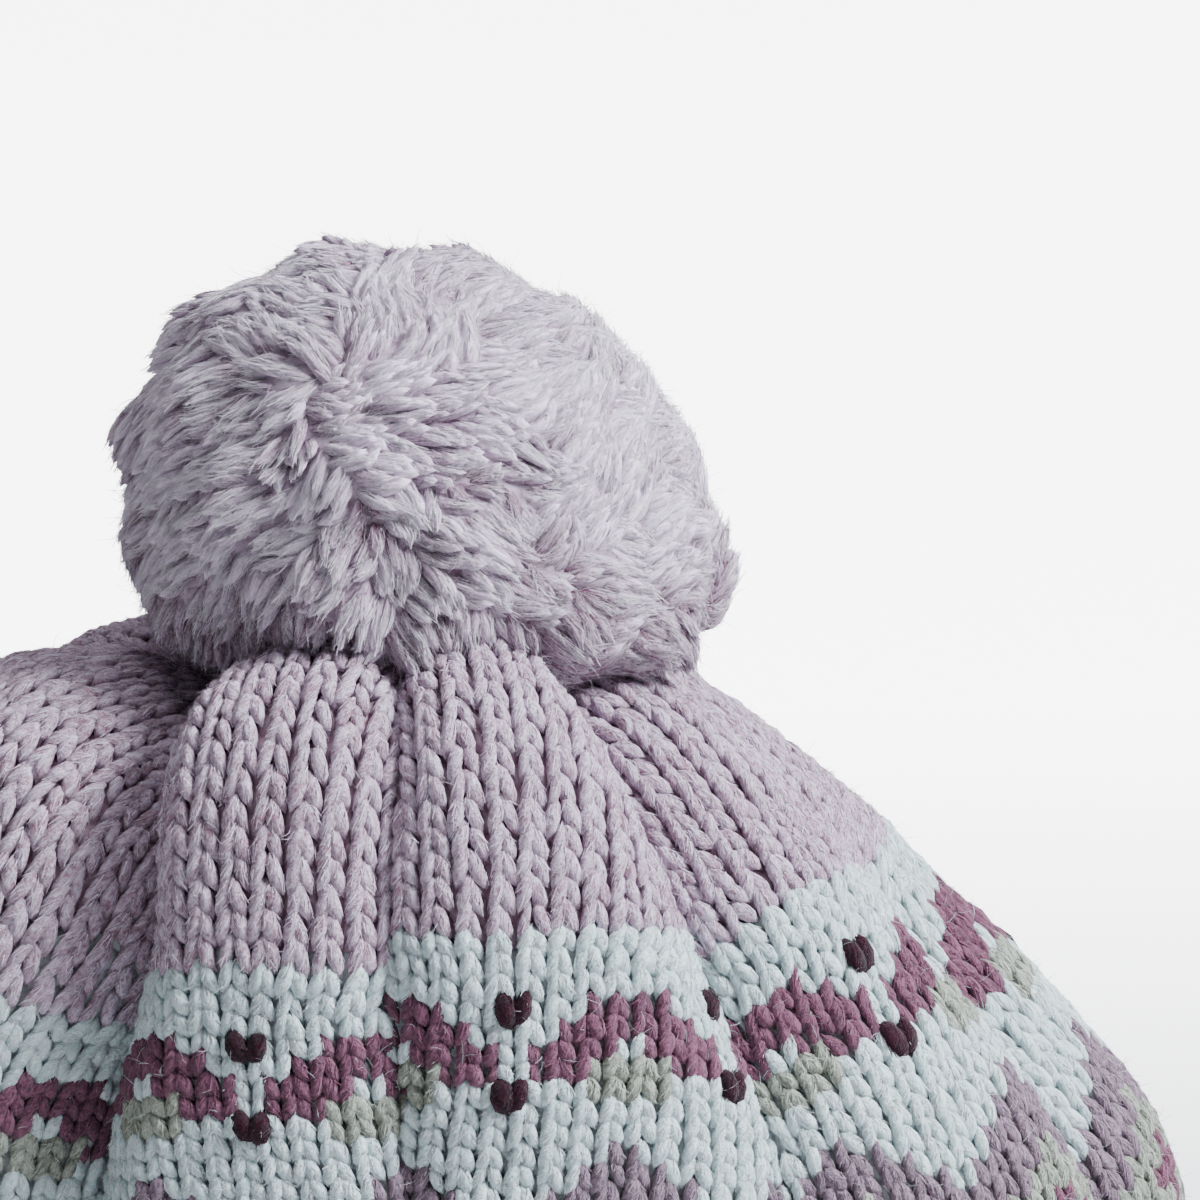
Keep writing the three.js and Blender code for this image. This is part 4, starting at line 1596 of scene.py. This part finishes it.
def hair_batch(rng: np.random.Generator, roots: Array, ways: Array, lengths: tuple[float, float],
               yarn: int | Array) -> StrandBatch:
    """Fine curved hairs.

    Args:
        rng: Random numbers.
        roots: Where they start.
        ways: The way each leaves.
        lengths: Shortest and longest.
        yarn: Material number, or one for each.

    Returns:
        The hairs as flat strands.
    """
    count = len(roots)
    shape = StrandShape.ribbon(3)
    share = np.linspace(0, 1, shape.rings)[None, :, None]
    length = rng.uniform(*lengths, (count, 1, 1))
    way = unit(ways + rng.normal(0, 0.35, ways.shape))
    curl = unit(np.cross(way, rng.normal(0, 1, ways.shape)))
    centre = (roots[:, None] + way[:, None] * length * share
              + curl[:, None] * length * 0.7 * share**2)
    wide = np.broadcast_to(np.array([1.0, 0.9, 0.7, 0.25]) * 0.00004, centre.shape[:2])
    normal = np.broadcast_to(unit(rng.normal(0, 1, ways.shape))[:, None], centre.shape)
    vertices = shape.place(centre, normal, wide, wide)
    return StrandBatch(shape, vertices, np.broadcast_to(yarn, (count,)).copy(),
                       rng.random(count), np.zeros((count, 2)))


@dataclass
class KnitHairs:
    """Loose fibres over the knitting, more of them along the folds."""

    layout: KnitLayout
    palette: Palette
    rng: np.random.Generator
    per_panel: int = 1100

    def build(self, panels: Sequence[Panel]) -> None:
        """Makes the fibres as one piece."""
        batches = []
        total = self.layout.crown_rows + self.layout.body_rows
        for panel in panels:
            width = panel.points.shape[1] / panel.fineness
            column = panel.first_column + self.rng.uniform(0.5, width - 0.5, self.per_panel * 2)
            row = self.rng.uniform(0, total, len(column))
            keep = panel.hidden(column, row) < 0.002
            column, row = column[keep][:self.per_panel], row[keep][:self.per_panel]
            normal = panel.normal(column, row)
            along = unit(panel.point(column, row + 0.5) - panel.point(column, row - 0.5))
            lean = self.rng.normal(0, 0.9, (len(column), 1))
            yarn = (row > self.layout.crown_rows).astype(int)
            batches.append(hair_batch(self.rng, panel.point(column, row) + normal * 0.0004,
                                      unit(normal * 0.7 + along * lean), (0.0010, 0.0026), yarn))
        settle(join_strands("knit_fibres", batches, self.palette.hairs), "body_yarn")


def dress_tie(palette: Palette) -> None:
    """Gives the yarn tie, whose CAD shape stays, the darker pink wool of the backing, whose colour
    holds painted shade.
    """
    tie = bpy.data.objects["pompom_tie"]
    for slot in tie.material_slots:
        slot.material = palette.pink_inside


# --- studio


# Reach from the middle and height of the floor's curve
BACKDROP_PROFILE = ((0.0, 0.0), (1.5, 0.0), (3.0, 0.0), (3.9, 0.12), (4.6, 0.5), (5.0, 1.2),
                    (5.1, 2.4), (5.1, 4.0))
DAYLIGHT = (0.88, 0.93, 1.0)


@dataclass
class Studio:
    """A pale bowl-shaped backdrop, soft lights and the photograph's camera."""

    elevation: float = math.radians(15.0)
    distance: float = 0.9
    frame_width: float = 0.160
    anchor: tuple[float, float, float] = (0.0, -0.026, 0.170)
    shift_right: float = 0.02667
    shift_up: float = 0.00533
    sensor: float = 36.0
    glow: float = 6.5
    air: float = 0.075
    floor_gap: float = 0.0002
    aim_height: float = 0.14

    def build(self) -> None:
        """Makes the backdrop, the lights and the camera."""
        self._backdrop()
        self._light("key_light", (1.20, -0.30, 1.24), 0.5, 90.0, (0.87, 0.93, 1.0))
        self._light("top_light", (0.00, 0.10, 1.30), 0.8, 9.0, DAYLIGHT)
        self._light("fill_light", (-0.80, -1.20, 0.80), 1.2, 1.2, DAYLIGHT)
        world = bpy.data.worlds.new("studio_air")
        world.use_nodes = True
        background = world.node_tree.nodes["Background"]
        background.inputs[0].default_value = (*DAYLIGHT, 1.0)
        background.inputs[1].default_value = self.air
        bpy.context.scene.world = world
        self._camera()

    def _backdrop(self) -> None:
        """A floor that curves up far from the hat, with a glowing pool of painted light on it
        behind the hat.
        """
        mesh = bmesh.new()
        verts = [mesh.verts.new((x, 0.0, z)) for x, z in BACKDROP_PROFILE]
        edges = [mesh.edges.new(pair) for pair in zip(verts, verts[1:])]
        bmesh.ops.spin(mesh, geom=[*verts, *edges], cent=(0, 0, 0), axis=(0, 0, 1), angle=math.tau,
                       steps=64, use_merge=True)
        bmesh.ops.remove_doubles(mesh, verts=mesh.verts, dist=1e-5)
        bmesh.ops.recalc_face_normals(mesh, faces=mesh.faces)
        for face in mesh.faces:
            face.smooth = True
        graph = Graph("backdrop_light_pool")
        place = graph.place()
        grain = graph.noise(place, 3.0)
        colour = graph.blend(grain, srgb(202, 202, 203), srgb(207, 207, 208))
        parts = graph.node("ShaderNodeSeparateXYZ", {}, {0: place})
        # Painted light: the floor glows in a pool behind the hat, which also lights the hat from
        # behind.
        far = ((parts.output(1) - 0.12) * 2.4).clamp() * ((3.4 - parts.output(1)) * 0.6).clamp()
        glow = far * ((1.7 - parts.absolute()) * 0.7).clamp()
        graph.feed(graph.shader.inputs["Emission Color"], graph.combine(glow, glow, glow))
        pale = graph.finish({"Roughness": 0.9, "Specular IOR Level": 0.1,
                             "Emission Strength": self.glow}, colour, grain, 0.0001, 0.1)
        piece = link_bmesh("backdrop", mesh, pale)
        piece.location.z = -self.floor_gap

    def _light(self, name: str, place: tuple[float, float, float], size: float, power: float,
               colour: tuple[float, float, float]) -> None:
        """A square area light that points at the hat."""
        data = bpy.data.lights.new(name, "AREA")
        data.size = size
        data.energy = power
        data.color = colour
        light = bpy.data.objects.new(name, data)
        light.location = place
        way = Vector((0.0, 0.0, self.aim_height)) - Vector(place)
        light.rotation_euler = way.to_track_quat("-Z", "Y").to_euler()
        bpy.context.scene.collection.objects.link(light)

    def _camera(self) -> None:
        """The camera at the photograph's angle and framing."""
        forward = Vector((0.0, math.cos(self.elevation), -math.sin(self.elevation)))
        up = Vector((0.0, math.sin(self.elevation), math.cos(self.elevation)))
        aim = Vector(self.anchor) + Vector((self.shift_right, 0, 0)) + up * self.shift_up
        data = bpy.data.cameras.new("photo_camera")
        data.sensor_width = self.sensor
        data.lens = self.sensor * self.distance / self.frame_width
        data.clip_start = 0.01
        data.clip_end = 60.0
        camera = bpy.data.objects.new("photo_camera", data)
        camera.location = aim - forward * self.distance
        camera.rotation_euler = Matrix.Rotation(math.pi / 2 - self.elevation, 4, "X").to_euler()
        bpy.context.scene.collection.objects.link(camera)
        bpy.context.scene.camera = camera


def main() -> None:
    """Builds the hat piece by piece."""
    logging.basicConfig(level=logging.INFO, format="%(name)s: %(message)s")
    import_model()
    palette = Palette.make()
    layout = KnitLayout(HatForm())
    stitcher = Stitcher(np.random.default_rng(11))
    panels = [layout.panel(lobe) for lobe in range(len(FOLDS))]
    BackingShells(layout, palette).build()
    KnitPieces(layout, palette, stitcher).build(panels)
    RibPieces(layout, palette, stitcher).build()
    Pompom(palette, np.random.default_rng(23)).build()
    KnitHairs(layout, palette, np.random.default_rng(37)).build(panels)
    dress_tie(palette)
    Studio().build()


if __name__ == "__main__":
    main()
